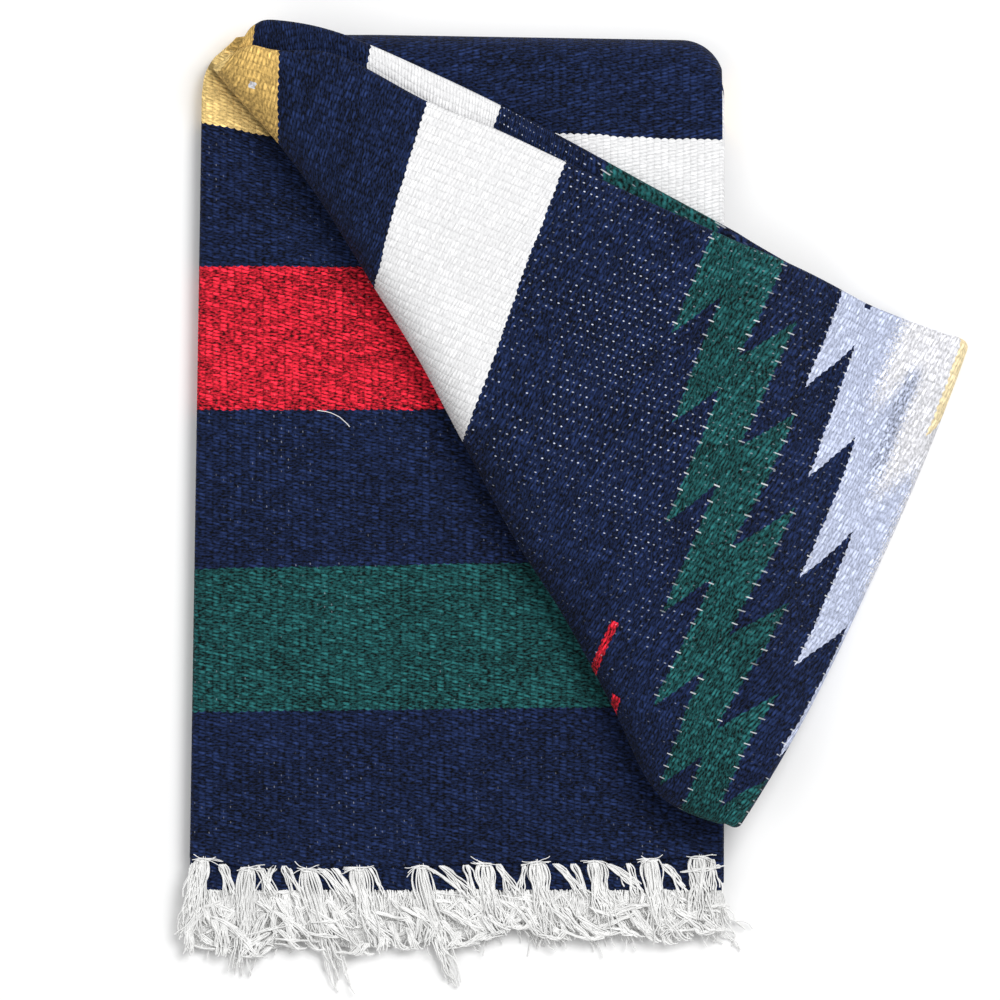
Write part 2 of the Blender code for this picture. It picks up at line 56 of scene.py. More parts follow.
# The cloth and how its layers stack
CLOTH = 0.0020
GAP = 0.0003
LAYER = CLOTH + GAP
HALF_STACK_LAYERS = 8
HALF_LENGTH = 0.2575
RIGHT = 0.1655
LEFT_FAR = -0.1594
LEFT_NEAR = -0.1675
FAR_LEFT_RADIUS = 0.031
FAR_RIGHT_RADIUS = 0.027
FAR_SLANT = 0.0032
FAR_SLANT_START = -0.050
WRAP_START = -0.1240
UPPER_NEAR_END = -0.2050
CREASE_MARGIN = 0.0035
Z_FLAP_LOW = HALF_STACK_LAYERS * LAYER
Z_FLAP_UNDER = 2 * HALF_STACK_LAYERS * LAYER
Z_FLAP_TOP = 3 * HALF_STACK_LAYERS * LAYER - GAP
FLAP_HALF = (Z_FLAP_TOP - Z_FLAP_UNDER) / 2
FAR_RADIUS = (Z_FLAP_UNDER - GAP) / 2
PANEL_LOW = 4 * LAYER
PANEL_HIGH = 7 * LAYER + CLOTH
PANEL_RADIUS = (PANEL_HIGH - PANEL_LOW) / 2
PANEL_FAR_END = 0.2450
PANEL_INSET = 0.003
DROOP_START = RIGHT + 0.008
DROOP_LENGTH = 0.080
SELVEDGE_SETBACK = 0.0015
CORNER_SETBACK = 0.006
RETURN_LEG = 0.004
HEM_BLEND = 0.030
END_ROW_SHARE = 0.3

# How finely the cloths are divided
FOLD_STEPS = 12
ROLL_STEPS = 16
EDGE_STEPS = 8
END_STEPS = 12
FRONT_ROWS = 150
FRONT_COLUMNS = 110
FLAP_STATIONS = 190
FLAP_COLUMNS_ON_TOP = 80
FAR_ROWS = 100
FAR_COLUMNS = 90
CREASE_STEPS = 60

# The flap, one row for each section from the far left corner to its free end: its far edge,
# the diagonal fold, how far the lower layers show past the edge, the share of the full
# thickness, how far the fold reaches down, how far the section curves towards the free end,
# and how far along the blanket the section lies on the face and on the layer under it
FLAP_TABLE = (
    (-0.1413, 0.2444, -0.1525, 0.2357, 0.008, 0.60, 1.0, 0.000, 0.5218, 0.5311),
    (-0.1289, 0.2500, -0.1345, 0.2145, 0.013, 0.85, 1.0, 0.000, 0.5392, 0.5560),
    (-0.1127, 0.2469, -0.1133, 0.1908, 0.019, 1.00, 1.0, 0.000, 0.5560, 0.5797),
    (-0.0747, 0.2438, -0.0853, 0.1529, 0.014, 1.00, 1.0, 0.000, 0.5940, 0.6345),
    (-0.0193, 0.2151, -0.0529, 0.1006, 0.018, 1.00, 1.0, 0.000, 0.6562, 0.6998),
    (0.0224, 0.1983, -0.0255, 0.0564, 0.015, 1.00, 1.0, 0.000, 0.7011, 0.7509),
    (0.0660, 0.1778, 0.0012, 0.0066, 0.013, 1.00, 1.0, 0.000, 0.7490, 0.8300),
    (0.1127, 0.1554, 0.0342, -0.0551, 0.010, 1.00, 1.0, 0.000, 0.8007, 0.8655),
    (0.1625, 0.1329, 0.0660, -0.1055, 0.006, 1.00, 1.0, 0.000, 0.8555, 0.8965),
    (0.2123, 0.1105, 0.0959, -0.1609, 0.002, 1.00, 1.0, 0.001, 0.9103, 0.9180),
    (0.2621, 0.0869, 0.1251, -0.2157, 0.000, 1.00, 0.6, 0.004, 0.9651, 0.9300),
    (0.3188, 0.0657, 0.1737, -0.2369, 0.000, 1.00, 0.0, 0.009, 1.0255, 0.9550),
)
FLAP_NAMES = (
    "edge_x",
    "edge_y",
    "fold_x",
    "fold_y",
    "under",
    "rise",
    "roll",
    "bow",
    "face_along",
    "back_along",
)
LAST_ROW = len(FLAP_TABLE) - 1
# The line along the flap where the diamonds mirror, and the direction across the cloth
MIRROR_X, MIRROR_Y = 0.0660, 0.1756
ACROSS_X, ACROSS_Y = -0.374, -0.927

# How far the top layer's hem stands back from straight, at even steps from left to right, and
# how far each lower hem stands out past it, from the floor up
HEM_OFFSETS = (0.0025, -0.0035, -0.0040, -0.0030, -0.0020, -0.0005, 0.0005, 0.0010, 0.0025, 0.0045)
HEM_STEPS = (0.004, 0.012, 0.008, 0.014, 0.010, 0.013, 0.018)

# How the stripes of the front lie askew: the height, the right end of the stripe that shows, and
# how far the cloth has slipped along itself on the left and at that end
HEM_ALONG = 0.2615
FRONT_SKEW = (
    (-0.2575, 0.1500, 0.0000, 0.0000),
    (-0.1672, 0.0960, 0.0012, -0.0019),
    (-0.0745, 0.0600, 0.0011, -0.0033),
    (0.0202, -0.0137, 0.0003, 0.0003),
    (0.1108, -0.0600, 0.0000, 0.0000),
    (0.1950, -0.1127, -0.0018, 0.0090),
)
FAR_STRIPE_Y = 0.194
FAR_STRIPE_ALONG = 0.656

# Where each stripe starts along the cloth, from the hem
STRIPES = (
    (0.000, "navy"),
    (0.094, "green"),
    (0.186, "navy"),
    (0.282, "red"),
    (0.372, "navy"),
    # Painted light: up to the fold the yellow is a lighter copy of its dye, standing in for light
    # where the flap's roll shades it
    (0.4595, "light_yellow"),
    (0.521, "yellow"),
    (0.556, "navy"),
    (0.656, "white"),
    (0.749, "navy"),
)
STRIPE_SPAN = 1.2
# The dyes, one of them a lighter copy of the yellow that is painted light, and how little each lets
# the weave's shade show
DYES = "navy green red yellow light_yellow white off_white pale_blue cream".split()
PALENESS = {
    "white": 1.0,
    "off_white": 0.72,
    "pale_blue": 0.72,
    "yellow": 0.62,
    "light_yellow": 0.72,
    "cream": 0.8,
}
# How far the edge of a stripe bulges over each rib and wanders, and what takes that back
SCALLOP_DEPTH = 0.0009
WANDER_DEPTH = 0.0024
EDGE_SHIFT = 0.0017
# The diamonds with warp dashes on their teeth, and the one whose edge is mottled
DASHED = ("green", "navy", "pale_blue")
MOTTLED = "off_white"
DASH_PITCH = 0.0092
# The pale warp where it shows: half its length and width, and its colours
SPECK_LENGTH = 0.00072
SPECK_WIDTH = 0.00040
WARP_SPECK = (0.66, 0.70, 0.80, 1.0)
WARP_DASH = (0.72, 0.74, 0.76, 1.0)
# The serrated diamonds: where each colour starts along the cloth, its centre and its teeth
DIAMOND_CENTRE = 1.0450
DIAMONDS = (
    (0.8510, "green", 0.0718, 0.0324),
    (0.8954, "navy", 0.0700, 0.0324),
    (0.9366, "pale_blue", 0.0735, 0.0370),
    (0.9825, "off_white", 0.0700, 0.0324),
    (1.0203, "cream", 0.0710, 0.0324),
)
TOOTH_PITCH = 0.02073
TOOTH_STEP = 0.05324
# Odd picks in the flap's weave: along, start and end across, half width and colour
SLIVERS = (
    (0.8875, 0.2460, 1.0000, 0.0026, "red"),
    (0.9080, 0.2895, 1.0000, 0.0030, "red"),
    (0.9580, 0.0040, 0.0130, 0.0022, "navy"),
    (0.5435, 0.0262, 0.0302, 0.0016, "off_white"),
)
# The painted shadow in the crease beside the diagonal fold on the yellow stripe, in the front's
# weave: the direction square to it, its distance from the origin, its half width and how far right
# it runs
CREASE_SHADOW_X, CREASE_SHADOW_Y, CREASE_SHADOW_AT, CREASE_SHADOW_HALF, CREASE_SHADOW_END = 0.6884, 0.7254, 0.2565, 0.0040, -0.105
# The painted shade of the soft trough near the flap's free end: along, half width, and its two ends
# across
TROUGH_ALONG, TROUGH_HALF, TROUGH_START, TROUGH_END = 1.0000, 0.0065, 0.030, 0.112
TROUGH_FADE = 0.012
# Where the diagonal fold lies across the flap's weave: along, across and how fast it moves over
FOLD_ALONG, FOLD_ACROSS, FOLD_SLOPE = 0.594, 0.0776, 0.70
# How strongly painted shade darkens the flap beside the diagonal fold
FOLD_SHADE = 0.24
# How far the flap's weave has slipped: the place across, the slip across and the slip along
FLAP_SLIP = (
    (-0.020, 0.0000, 0.0000),
    (0.072, -0.0031, 0.0006),
    (0.125, -0.0006, -0.0012),
    (0.178, -0.0075, -0.0012),
    (0.231, -0.0056, -0.0018),
    (0.285, -0.0100, 0.0000),
    (0.338, 0.0000, -0.0068),
    (0.400, 0.0000, -0.0068),
)

# Soft ridges: start, end, half width and height
FRONT_RIDGES = (
    (-0.150, -0.235, -0.060, -0.205, 0.016, 0.0007),
    (-0.030, -0.240, 0.070, -0.228, 0.014, 0.0009),
    (0.095, -0.246, 0.150, -0.225, 0.012, 0.0008),
    (-0.155, -0.120, -0.100, -0.060, 0.020, 0.0006),
    (-0.060, -0.150, 0.020, -0.090, 0.024, 0.0008),
    (-0.150, 0.020, -0.070, 0.050, 0.018, 0.0006),
    (-0.148, 0.130, -0.120, 0.180, 0.014, 0.0009),
    (0.040, -0.200, 0.090, -0.170, 0.018, 0.0008),
)
FLAP_RIDGES = (
    (-0.100, 0.205, -0.030, 0.120, 0.012, 0.0009),
    (-0.050, 0.200, 0.015, 0.100, 0.018, 0.0007),
    (0.020, 0.165, 0.070, 0.010, 0.020, 0.0008),
    (0.080, 0.130, 0.110, 0.000, 0.016, 0.0010),
    (0.060, -0.080, 0.120, -0.190, 0.015, 0.0012),
    (0.150, 0.090, 0.160, -0.060, 0.022, 0.0009),
    (0.262, 0.052, 0.240, -0.020, 0.011, 0.0026),
    (0.2750, 0.0500, 0.2580, 0.0080, 0.0065, 0.0030),
    (0.2960, 0.0460, 0.2810, 0.0060, 0.0070, 0.0030),
    (0.215, -0.010, 0.180, -0.120, 0.018, 0.0012),
    (0.236, 0.062, 0.225, 0.020, 0.008, 0.0012),
    (0.175, 0.060, 0.140, -0.040, 0.010, 0.0012),
)
FAR_RIDGES = (
    (0.060, 0.210, 0.150, 0.225, 0.015, 0.0006),
    (-0.060, 0.230, 0.040, 0.238, 0.012, 0.0005),
    (0.150, 0.100, 0.155, 0.180, 0.008, 0.0006),
)

# Fringe: where each tassel hangs, how long it is and how far its end lies to the side
TASSELS = (
    (-0.1586, 0.054, -0.013),
    (-0.1315, 0.070, -0.004),
    (-0.0940, 0.079, 0.024),
    (-0.0623, 0.053, 0.014),
    (-0.0230, 0.077, 0.020),
    (0.0162, 0.045, 0.012),
    (0.0486, 0.052, 0.012),
    (0.0847, 0.046, 0.010),
    (0.1202, 0.053, 0.006),
    (0.1494, 0.045, 0.002),
)
# Loose yarn between the tassels, seen from above: start, end, spread and how many threads
LOOSE_YARN = (
    (-0.1650, -0.2585, -0.1690, -0.2790, 0.0050, 9),
    (-0.1470, -0.2590, -0.1420, -0.2800, 0.0060, 12),
    (-0.1240, -0.2595, -0.1160, -0.2790, 0.0060, 12),
    (-0.1140, -0.2598, -0.1230, -0.2780, 0.0050, 8),
    (-0.1080, -0.2600, -0.1000, -0.2800, 0.0065, 12),
    (-0.0880, -0.2602, -0.0660, -0.2860, 0.0060, 11),
    (-0.0790, -0.2602, -0.0650, -0.2810, 0.0050, 9),
    (-0.0560, -0.2600, -0.0470, -0.2790, 0.0040, 5),
    (-0.0218, -0.2600, 0.0081, -0.2814, 0.0030, 5),
    (-0.0110, -0.2600, 0.0070, -0.2800, 0.0060, 10),
    (0.0050, -0.2595, 0.0120, -0.2800, 0.0060, 9),
    (0.0250, -0.2590, 0.0350, -0.2790, 0.0060, 13),
    (0.0400, -0.2590, 0.0380, -0.2790, 0.0050, 7),
    (0.0604, -0.2588, 0.0778, -0.2800, 0.0060, 12),
    (0.0720, -0.2588, 0.0800, -0.2790, 0.0050, 8),
    (0.0930, -0.2590, 0.1130, -0.2760, 0.0070, 14),
    (0.1050, -0.2585, 0.1110, -0.2790, 0.0050, 6),
    (0.1280, -0.2590, 0.1420, -0.2790, 0.0060, 9),
    (0.1400, -0.2640, 0.1620, -0.2600, 0.0060, 12),
    (0.1580, -0.2560, 0.1600, -0.2780, 0.0060, 9),
)
# The ragged lower edge of the mat that the lower hems' fringe makes
MAT_EDGE = (
    (-0.1830, -0.3157),
    (-0.1464, -0.3194),
    (-0.1146, -0.3175),
    (-0.0947, -0.3131),
    (-0.0592, -0.3175),
    (-0.0330, -0.3131),
    (-0.0119, -0.3144),
    (0.0162, -0.3082),
    (0.0336, -0.2988),
    (0.0629, -0.3082),
    (0.0778, -0.3094),
    (0.0983, -0.3026),
    (0.1320, -0.3107),
    (0.1587, -0.3020),
)
MAT_TOP = -0.2765
# The lower rows of fringe: piece, node, layer, how far its hem stands out, slant to the side, the
# height it comes to rest at, length and seed
LOWER_FRINGES = (
    ("second_fringe", "fringe_second", 6, 0.018, 0.0, 0.0046, 0.038, 31),
    ("lower_fringe", "fringe_lower", 3, 0.014, 0.004, 0.0018, 0.040, 32),
)
FRINGE_DROP_START = 0.0228
FRINGE_DROP_LENGTH = 0.033
LONG_LOCK_DROP = 0.005
LONG_LOCK_DROP_LENGTH = 0.022

# How the threads of each kind lie: spread, flatness, wave, wave scale, shortest share and points
LIES = {
    "tassel": (0.0104, 0.30, 0.0062, 60.0, 0.50, 24),
    "mat": (0.0080, 0.20, 0.0100, 70.0, 0.45, 15),
    "tangle": (0.0046, 0.30, 0.0024, 90.0, 0.55, 12),
    "loose": (0.0060, 0.35, 0.0030, 80.0, 0.75, 12),
    "knot": (0.0010, 0.60, 0.0006, 200.0, 0.97, 26),
    "stray": (0.0004, 0.50, 0.0012, 120.0, 0.70, 9),
}
# What differs from thread to thread, and between which bounds
THREAD_CHANCES = (
    ("start_angle", 0.0, 2 * math.pi),
    ("twist", -3.2, 3.2),
    ("reach", 0.15, 1.0),
    ("own", 0.0, 100.0),
)

# Camera: what it looks at and how wide a field it takes in
VIEW_X, VIEW_Y, VIEW_Z = 0.0259, -0.0322, 0.020
VIEW_WIDTH = 0.62264
FLOOR_SIZE = 6.0
FLOOR_Z = -0.0002


def smooth(value):
    """0 to 1 with level ends."""
    held = min(max(value, 0.0), 1.0)
    return held * held * (3 - 2 * held)


def mix(low, high, share):
    return low + (high - low) * share


def linear(red, green, blue):
    """A colour as it reads on screen, 0 to 255, in linear light."""
    return tuple(
        part / 12.92 if part <= 0.04045 else ((part + 0.055) / 1.055) ** 2.4
        for part in (red / 255, green / 255, blue / 255)
    )


def curve_value(column, place):
    """A column of the flap's table on one smooth curve; place counts rows from 0."""
    first = min(max(int(math.floor(place)), 0), LAST_ROW - 1)
    share = place - first
    before, low, high, after = (
        FLAP_TABLE[min(max(first + step, 0), LAST_ROW)][column] for step in (-1, 0, 1, 2)
    )
    slope_low, slope_high = (high - before) / 2, (after - low) / 2
    cube, square = share**3, share**2
    return (
        low * (2 * cube - 3 * square + 1)
        + slope_low * (cube - 2 * square + share)
        + high * (3 * square - 2 * cube)
        + slope_high * (cube - square)
    )


def table_value(rows, place, column):
    """A column of a table read straight between its rows, by their first column."""
    if place <= rows[0][0]:
        return rows[0][column]
    for low, high in zip(rows, rows[1:]):
        if place <= high[0]:
            return mix(low[column], high[column], (place - low[0]) / (high[0] - low[0]))
    return rows[-1][column]


def hem_offset(x):
    """How far the top layer's hem stands back at x."""
    first = LEFT_NEAR + PANEL_RADIUS
    last = RIGHT - SELVEDGE_SETBACK
    place = min(max((x - first) / (last - first), 0.0), 1.0) * (len(HEM_OFFSETS) - 1)
    step = min(int(place), len(HEM_OFFSETS) - 2)
    return mix(HEM_OFFSETS[step], HEM_OFFSETS[step + 1], smooth(place - step))


def left_edge(y):
    """The stack's left edge, which leans in towards the far fold."""
    rise = y - (HALF_LENGTH - FAR_LEFT_RADIUS)
    if rise <= 0:
        return mix(LEFT_NEAR, LEFT_FAR, (y + HALF_LENGTH) / (2 * HALF_LENGTH))
    return LEFT_FAR + FAR_LEFT_RADIUS - math.sqrt(max(FAR_LEFT_RADIUS**2 - rise**2, 0))


def right_edge(y):
    """The stack's right edge."""
    rise = y - (HALF_LENGTH - FAR_SLANT - FAR_RIGHT_RADIUS)
    if rise <= 0:
        return RIGHT
    return RIGHT - FAR_RIGHT_RADIUS + math.sqrt(max(FAR_RIGHT_RADIUS**2 - rise**2, 0))


def far_edge(x):
    """The stack's far edge, which slants a little and has two rounded corners."""
    corner = RIGHT - FAR_RIGHT_RADIUS
    over = x - corner
    if over > 0:
        round_part = math.sqrt(max(FAR_RIGHT_RADIUS**2 - over**2, 0))
        return HALF_LENGTH - FAR_SLANT - FAR_RIGHT_RADIUS + round_part
    over = LEFT_FAR + FAR_LEFT_RADIUS - x
    if over > 0:
        return HALF_LENGTH - FAR_LEFT_RADIUS + math.sqrt(max(FAR_LEFT_RADIUS**2 - over**2, 0))
    return HALF_LENGTH - FAR_SLANT * max(x - FAR_SLANT_START, 0) / (corner - FAR_SLANT_START)


def round_inset(z, low, high):
    """How far a rounded fold from low to high has drawn in at z."""
    radius = (high - low) / 2
    return radius - math.sqrt(max(radius**2 - (z - low - radius) ** 2, 0))


def far_columns(count):
    """Where the far fold has its sections, from left to right."""
    corner = RIGHT - FAR_RIGHT_RADIUS
    last = RIGHT - SELVEDGE_SETBACK
    straight = [mix(WRAP_START, corner, step / count) for step in range(count + 1)]
    turns = count // 5
    return straight + [
        mix(corner, last, math.sin(math.pi / 2 * step / turns)) for step in range(1, turns + 1)
    ]


def far_inner_edge(x, z):
    """Where hidden layers end inside the far fold."""
    radius = (FAR_RADIUS - CLOTH) * 0.99 - GAP
    height = min(abs(z - FAR_RADIUS), radius)
    reach = math.sqrt(radius**2 - height**2)
    if z < CLOTH + GAP / 2:
        reach = -GAP
    return far_edge(x) - FAR_RADIUS + reach


def station(place):
    """One section of the flap, read from its table at a place counted in rows."""
    values = {name: curve_value(column, place) for column, name in enumerate(FLAP_NAMES)}
    across_x = values["edge_x"] - values["fold_x"]
    across_y = values["edge_y"] - values["fold_y"]
    width = math.hypot(across_x, across_y)
    before, after = max(place - 0.1, 0), min(place + 0.1, LAST_ROW)
    fold_x = curve_value(2, after) - curve_value(2, before)
    fold_y = curve_value(3, after) - curve_value(3, before)
    slant = abs(fold_x * across_y - fold_y * across_x) / (math.hypot(fold_x, fold_y) * width)
    half = FLAP_HALF * min(values["rise"], 1.0)
    middle = Z_FLAP_UNDER + half
    low = mix(GAP / 2, Z_FLAP_LOW - middle, min(max(values["roll"], 0.0), 1.0))
    big = (half - low) / 2
    values.update(
        width=width,
        across=(across_x / width, across_y / width),
        half=half,
        middle=middle,
        low=low,
        big=big,
        reach=min(big / slant, 0.5 * width),
        leg=min(RETURN_LEG, 0.1 * width),
        under=max(values["under"], 0.0),
    )
    return values


def end_station(set_back):
    """The last section before the cloth turns round the free end."""
    values = station(LAST_ROW)
    outward = (values["across"][1], -values["across"][0])
    for axis, letter in enumerate("xy"):
        values["edge_" + letter] -= outward[axis] * (FLAP_HALF + set_back)
        values["fold_" + letter] -= outward[axis] * (FLAP_HALF + set_back)
    return values


def flap_plan(values, along):
    """The point of the plan that lies a distance along a section, from the diagonal fold."""
    share = along / values["width"]
    bow = values["bow"] * 4 * share * (1 - share)
    across_x, across_y = values["across"]
    return (
        values["fold_x"] + across_x * along + across_y * bow,
        values["fold_y"] + across_y * along - across_x * bow,
    )


def drooped(x, y, middle, height):
    """A point of the flap, a height above its middle surface, after the flap has drooped."""
    share = min(max((x - DROOP_START) / DROOP_LENGTH, 0.0), 1.0)
    slope = -Z_FLAP_UNDER * 6 * share * (1 - share) / DROOP_LENGTH
    length = math.hypot(1.0, slope)
    drop = middle - Z_FLAP_UNDER * smooth(share)
    return (x - slope / length * height, y, drop + height / length)


def flap_point(values, along, height, turn=math.pi / 2):
    """A point of a section; turn is the section's angle round the free end's fold."""
    across_x, across_y = values["across"]
    x, y = flap_plan(values, along)
    x += across_y * height * math.cos(turn)
    y -= across_x * height * math.cos(turn)
    return drooped(x, y, values["middle"], height * math.sin(turn))


def crease(place):
    """Where the layers that stay in place end next to the roll, at a place in table rows."""
    values = station(place)
    return flap_plan(values, values["reach"] + CREASE_MARGIN)


def crease_place(axis, target):
    """The place where the crease reaches a given x (axis 0) or y (axis 1)."""
    low, high = 0.0, float(LAST_ROW - 1)
    for _ in range(30):
        middle = (low + high) / 2
        short = crease(middle)[0] < target if axis == 0 else crease(middle)[1] > target
        low, high = (middle, high) if short else (low, middle)
    return low


def fold_x_at(y):
    """The diagonal fold's x at a height of the plan."""
    for one, two in zip(FLAP_TABLE, FLAP_TABLE[1:]):
        if y >= two[3]:
            return mix(one[2], two[2], min(max((one[3] - y) / (one[3] - two[3]), 0.0), 1.0))
    return 1.0


def ridge_lift(ridges, x, y):
    """The height that soft ridges add at a point of the plan."""
    total = 0.0
    for start_x, start_y, end_x, end_y, wide, height in ridges:
        run_x, run_y = end_x - start_x, end_y - start_y
        share = ((x - start_x) * run_x + (y - start_y) * run_y) / (run_x**2 + run_y**2)
        held = min(max(share, 0.0), 1.0)
        away = math.hypot(x - start_x - held * run_x, y - start_y - held * run_y)
        if away < 3 * wide:
            total += height * math.exp(-((away / wide) ** 2))
    return total


def ripple(x, y, scale, seed):
    """A gentle unevenness from 0 to 1."""
    return 0.5 + 0.5 * noise.noise(Vector((x * scale, y * scale, seed)))


def arc_lengths(points, start):
    """Signed distances along a run of points from the one at start."""
    found = [0.0]
    for one, two in zip(points, points[1:]):
        found.append(found[-1] + math.dist(one, two))
    return [length - found[start] for length in found]


def mesh_piece(name, points, faces, weave, material):
    """A named object from points, faces and each point's place in the weave."""
    mesh = bpy.data.meshes.new(name)
    mesh.from_pydata([tuple(point) for point in points], [], faces)
    places = mesh.uv_layers.new(name="weave")
    corners = np.empty(len(mesh.loops), np.int32)
    mesh.loops.foreach_get("vertex_index", corners)
    places.data.foreach_set("uv", np.asarray(weave, np.float32)[corners].ravel())
    builder = bmesh.new()
    builder.from_mesh(mesh)
    bmesh.ops.recalc_face_normals(builder, faces=builder.faces)
    if builder.calc_volume(signed=True) < 0:
        bmesh.ops.reverse_faces(builder, faces=builder.faces)
    builder.to_mesh(mesh)
    builder.free()
    mesh.materials.append(material)
    mesh.shade_smooth()
    return link(name, mesh)


def cloth_shell(name, rows, weave, outward, material, thickness=CLOTH):
    """A closed thin shell. rows holds the points of its outer side, and outward is 1 or -1."""
    outer = np.array(rows)
    weave = np.array(weave)
    count, width = outer.shape[:2]
    down = np.gradient(outer, axis=0)
    over = np.gradient(outer, axis=1)
    normal = np.cross(over, down) * outward
    normal /= np.linalg.norm(normal, axis=2, keepdims=True)
    inner = outer - normal * thickness
    ring = [(0, j) for j in range(width)] + [(i, width - 1) for i in range(1, count)]
    ring += [(count - 1, j) for j in range(width - 2, -1, -1)]
    ring += [(i, 0) for i in range(count - 2, 0, -1)]
    rim = []
    for i, j in ring:
        away = np.zeros(3)
        if i in (0, count - 1):
            away += down[i, j] / np.linalg.norm(down[i, j]) * (-1 if i == 0 else 1)
        if j in (0, width - 1):
            away += over[i, j] / np.linalg.norm(over[i, j]) * (-1 if j == 0 else 1)
        rim.append((outer[i, j] + inner[i, j]) / 2 + away * thickness * 0.3)
    total = count * width
    points = np.concatenate([outer.reshape(-1, 3), inner.reshape(-1, 3), np.array(rim)])
    flat = weave.reshape(-1, 2)
    places = np.concatenate([flat, flat, np.array([weave[i, j] for i, j in ring])])
    faces = []
    for i in range(count - 1):
        for j in range(width - 1):
            one = i * width + j
            faces.append((one, one + 1, one + width + 1, one + width))
            two = total + one
            faces.append((two, two + width, two + width + 1, two + 1))
    for step in range(len(ring)):
        after = (step + 1) % len(ring)
        here = ring[step][0] * width + ring[step][1]
        there = ring[after][0] * width + ring[after][1]
        faces.append((here, 2 * total + step, 2 * total + after, there))
        faces.append((2 * total + step, total + here, total + there, 2 * total + after))
    return mesh_piece(name, points, faces, places, material)


def dress(piece, slot_name, *nodes):
    """Ties a finished piece to the frame."""
    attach(piece, "root")
    if nodes:
        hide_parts(*nodes)
    return piece


# Shader node helpers

FLOAT = "NodeSocketFloat"
COLOUR = "NodeSocketColor"


class Wire:
    """An output of a node tree, in sums and comparisons that become Math nodes."""

    def __init__(self, tree, socket):
        self.tree, self.socket = tree, socket

    def to(self, operation, *others, clamp=False):
        return calc(self.tree, operation, self, *others, clamp=clamp)

    def __add__(self, other):
        return self.to("ADD", other)

    def __sub__(self, other):
        return self.to("SUBTRACT", other)

    def __rsub__(self, other):
        return calc(self.tree, "SUBTRACT", other, self)

    def __mul__(self, other):
        return self.to("MULTIPLY", other)

    def __truediv__(self, other):
        return self.to("DIVIDE", other)

    def __pow__(self, other):
        return self.to("POWER", other)

    def __abs__(self):
        return self.to("ABSOLUTE")

    def __gt__(self, other):
        return self.to("GREATER_THAN", other)

    def __lt__(self, other):
        return self.to("LESS_THAN", other)


def feed(tree, socket, value):
    """Links a wire into a socket, or sets the socket's value."""
    if isinstance(value, Wire):
        tree.links.new(value.socket, socket)
    else:
        socket.default_value = value


def put(tree, kind, inputs=(), **settings):
    """A node with its settings made and its inputs fed, by name or number."""
    node = tree.nodes.new(kind)
    for name, value in settings.items():
        setattr(node, name, value)
    for label, value in dict(inputs).items():
        feed(tree, node.inputs[label], value)
    return node


def wire(tree, kind, inputs=(), output=0, **settings):
    """One output of a new node."""
    return Wire(tree, put(tree, kind, inputs, **settings).outputs[output])


def calc(tree, operation, *values, clamp=False):
    """A Math node's result."""
    inputs = dict(enumerate(values))
    return wire(tree, "ShaderNodeMath", inputs, operation=operation, use_clamp=clamp)


def vector_calc(tree, operation, first, second):
    """A Vector Math node's result."""
    return wire(tree, "ShaderNodeVectorMath", {0: first, 1: second}, operation=operation)


def blend_colour(tree, share, low, high):
    """A Mix node's colour."""
    return wire(tree, "ShaderNodeMix", {0: share, 6: low, 7: high}, 2, data_type="RGBA")


def ramp_value(tree, value, low, high):
    """A value mapped from low..high to 0..1 and held there."""
    inputs = {0: value, 1: low, 2: high}
    return wire(tree, "ShaderNodeMapRange", inputs, interpolation_type="SMOOTHSTEP")


def noise_value(tree, vector, scale, detail=2.0):
    inputs = {"Vector": vector, "Scale": scale, "Detail": detail}
    return wire(tree, "ShaderNodeTexNoise", inputs, "Fac")


def pair(tree, first, second, third=0.0):
    return wire(tree, "ShaderNodeCombineXYZ", {0: first, 1: second, 2: third})


def random_at(tree, first, second):
    """A fixed random value for each pair of whole numbers."""
    inputs = {"Vector": pair(tree, first, second)}
    return wire(tree, "ShaderNodeTexWhiteNoise", inputs, "Value", noise_dimensions="2D")


def new_group(name, inputs, outputs):
    """A shader node group with named sockets: (tree, inputs by name, its output's sockets)."""
    tree = bpy.data.node_groups.new(name, "ShaderNodeTree")
    for label, value in inputs:
        socket = tree.interface.new_socket(name=label, in_out="INPUT", socket_type=FLOAT)
        socket.default_value = value
    for label, kind in outputs:
        tree.interface.new_socket(name=label, in_out="OUTPUT", socket_type=kind)
    return tree, group_inputs(tree), tree.nodes.new("NodeGroupOutput").inputs


def group_inputs(tree):
    return {socket.name: Wire(tree, socket) for socket in tree.nodes.new("NodeGroupInput").outputs}


def stripe_ramp(tree, along, of_stripe):
    """A colour for each stripe, held from its start to the next one's."""
    node = put(tree, "ShaderNodeValToRGB", {0: along / STRIPE_SPAN})
    node.color_ramp.interpolation = "CONSTANT"
    stops = node.color_ramp.elements
    for index, (start, shade) in enumerate(STRIPES):
        stop = stops[index] if index < 2 else stops.new(start / STRIPE_SPAN)
        stop.position, stop.color = start / STRIPE_SPAN, of_stripe(shade)
    return Wire(tree, node.outputs[0])


def paleness_of(shade):
    """How little a dye lets the weave's shade show, as a grey."""
    return (PALENESS.get(shade, 0.0),) * 3 + (1.0,)


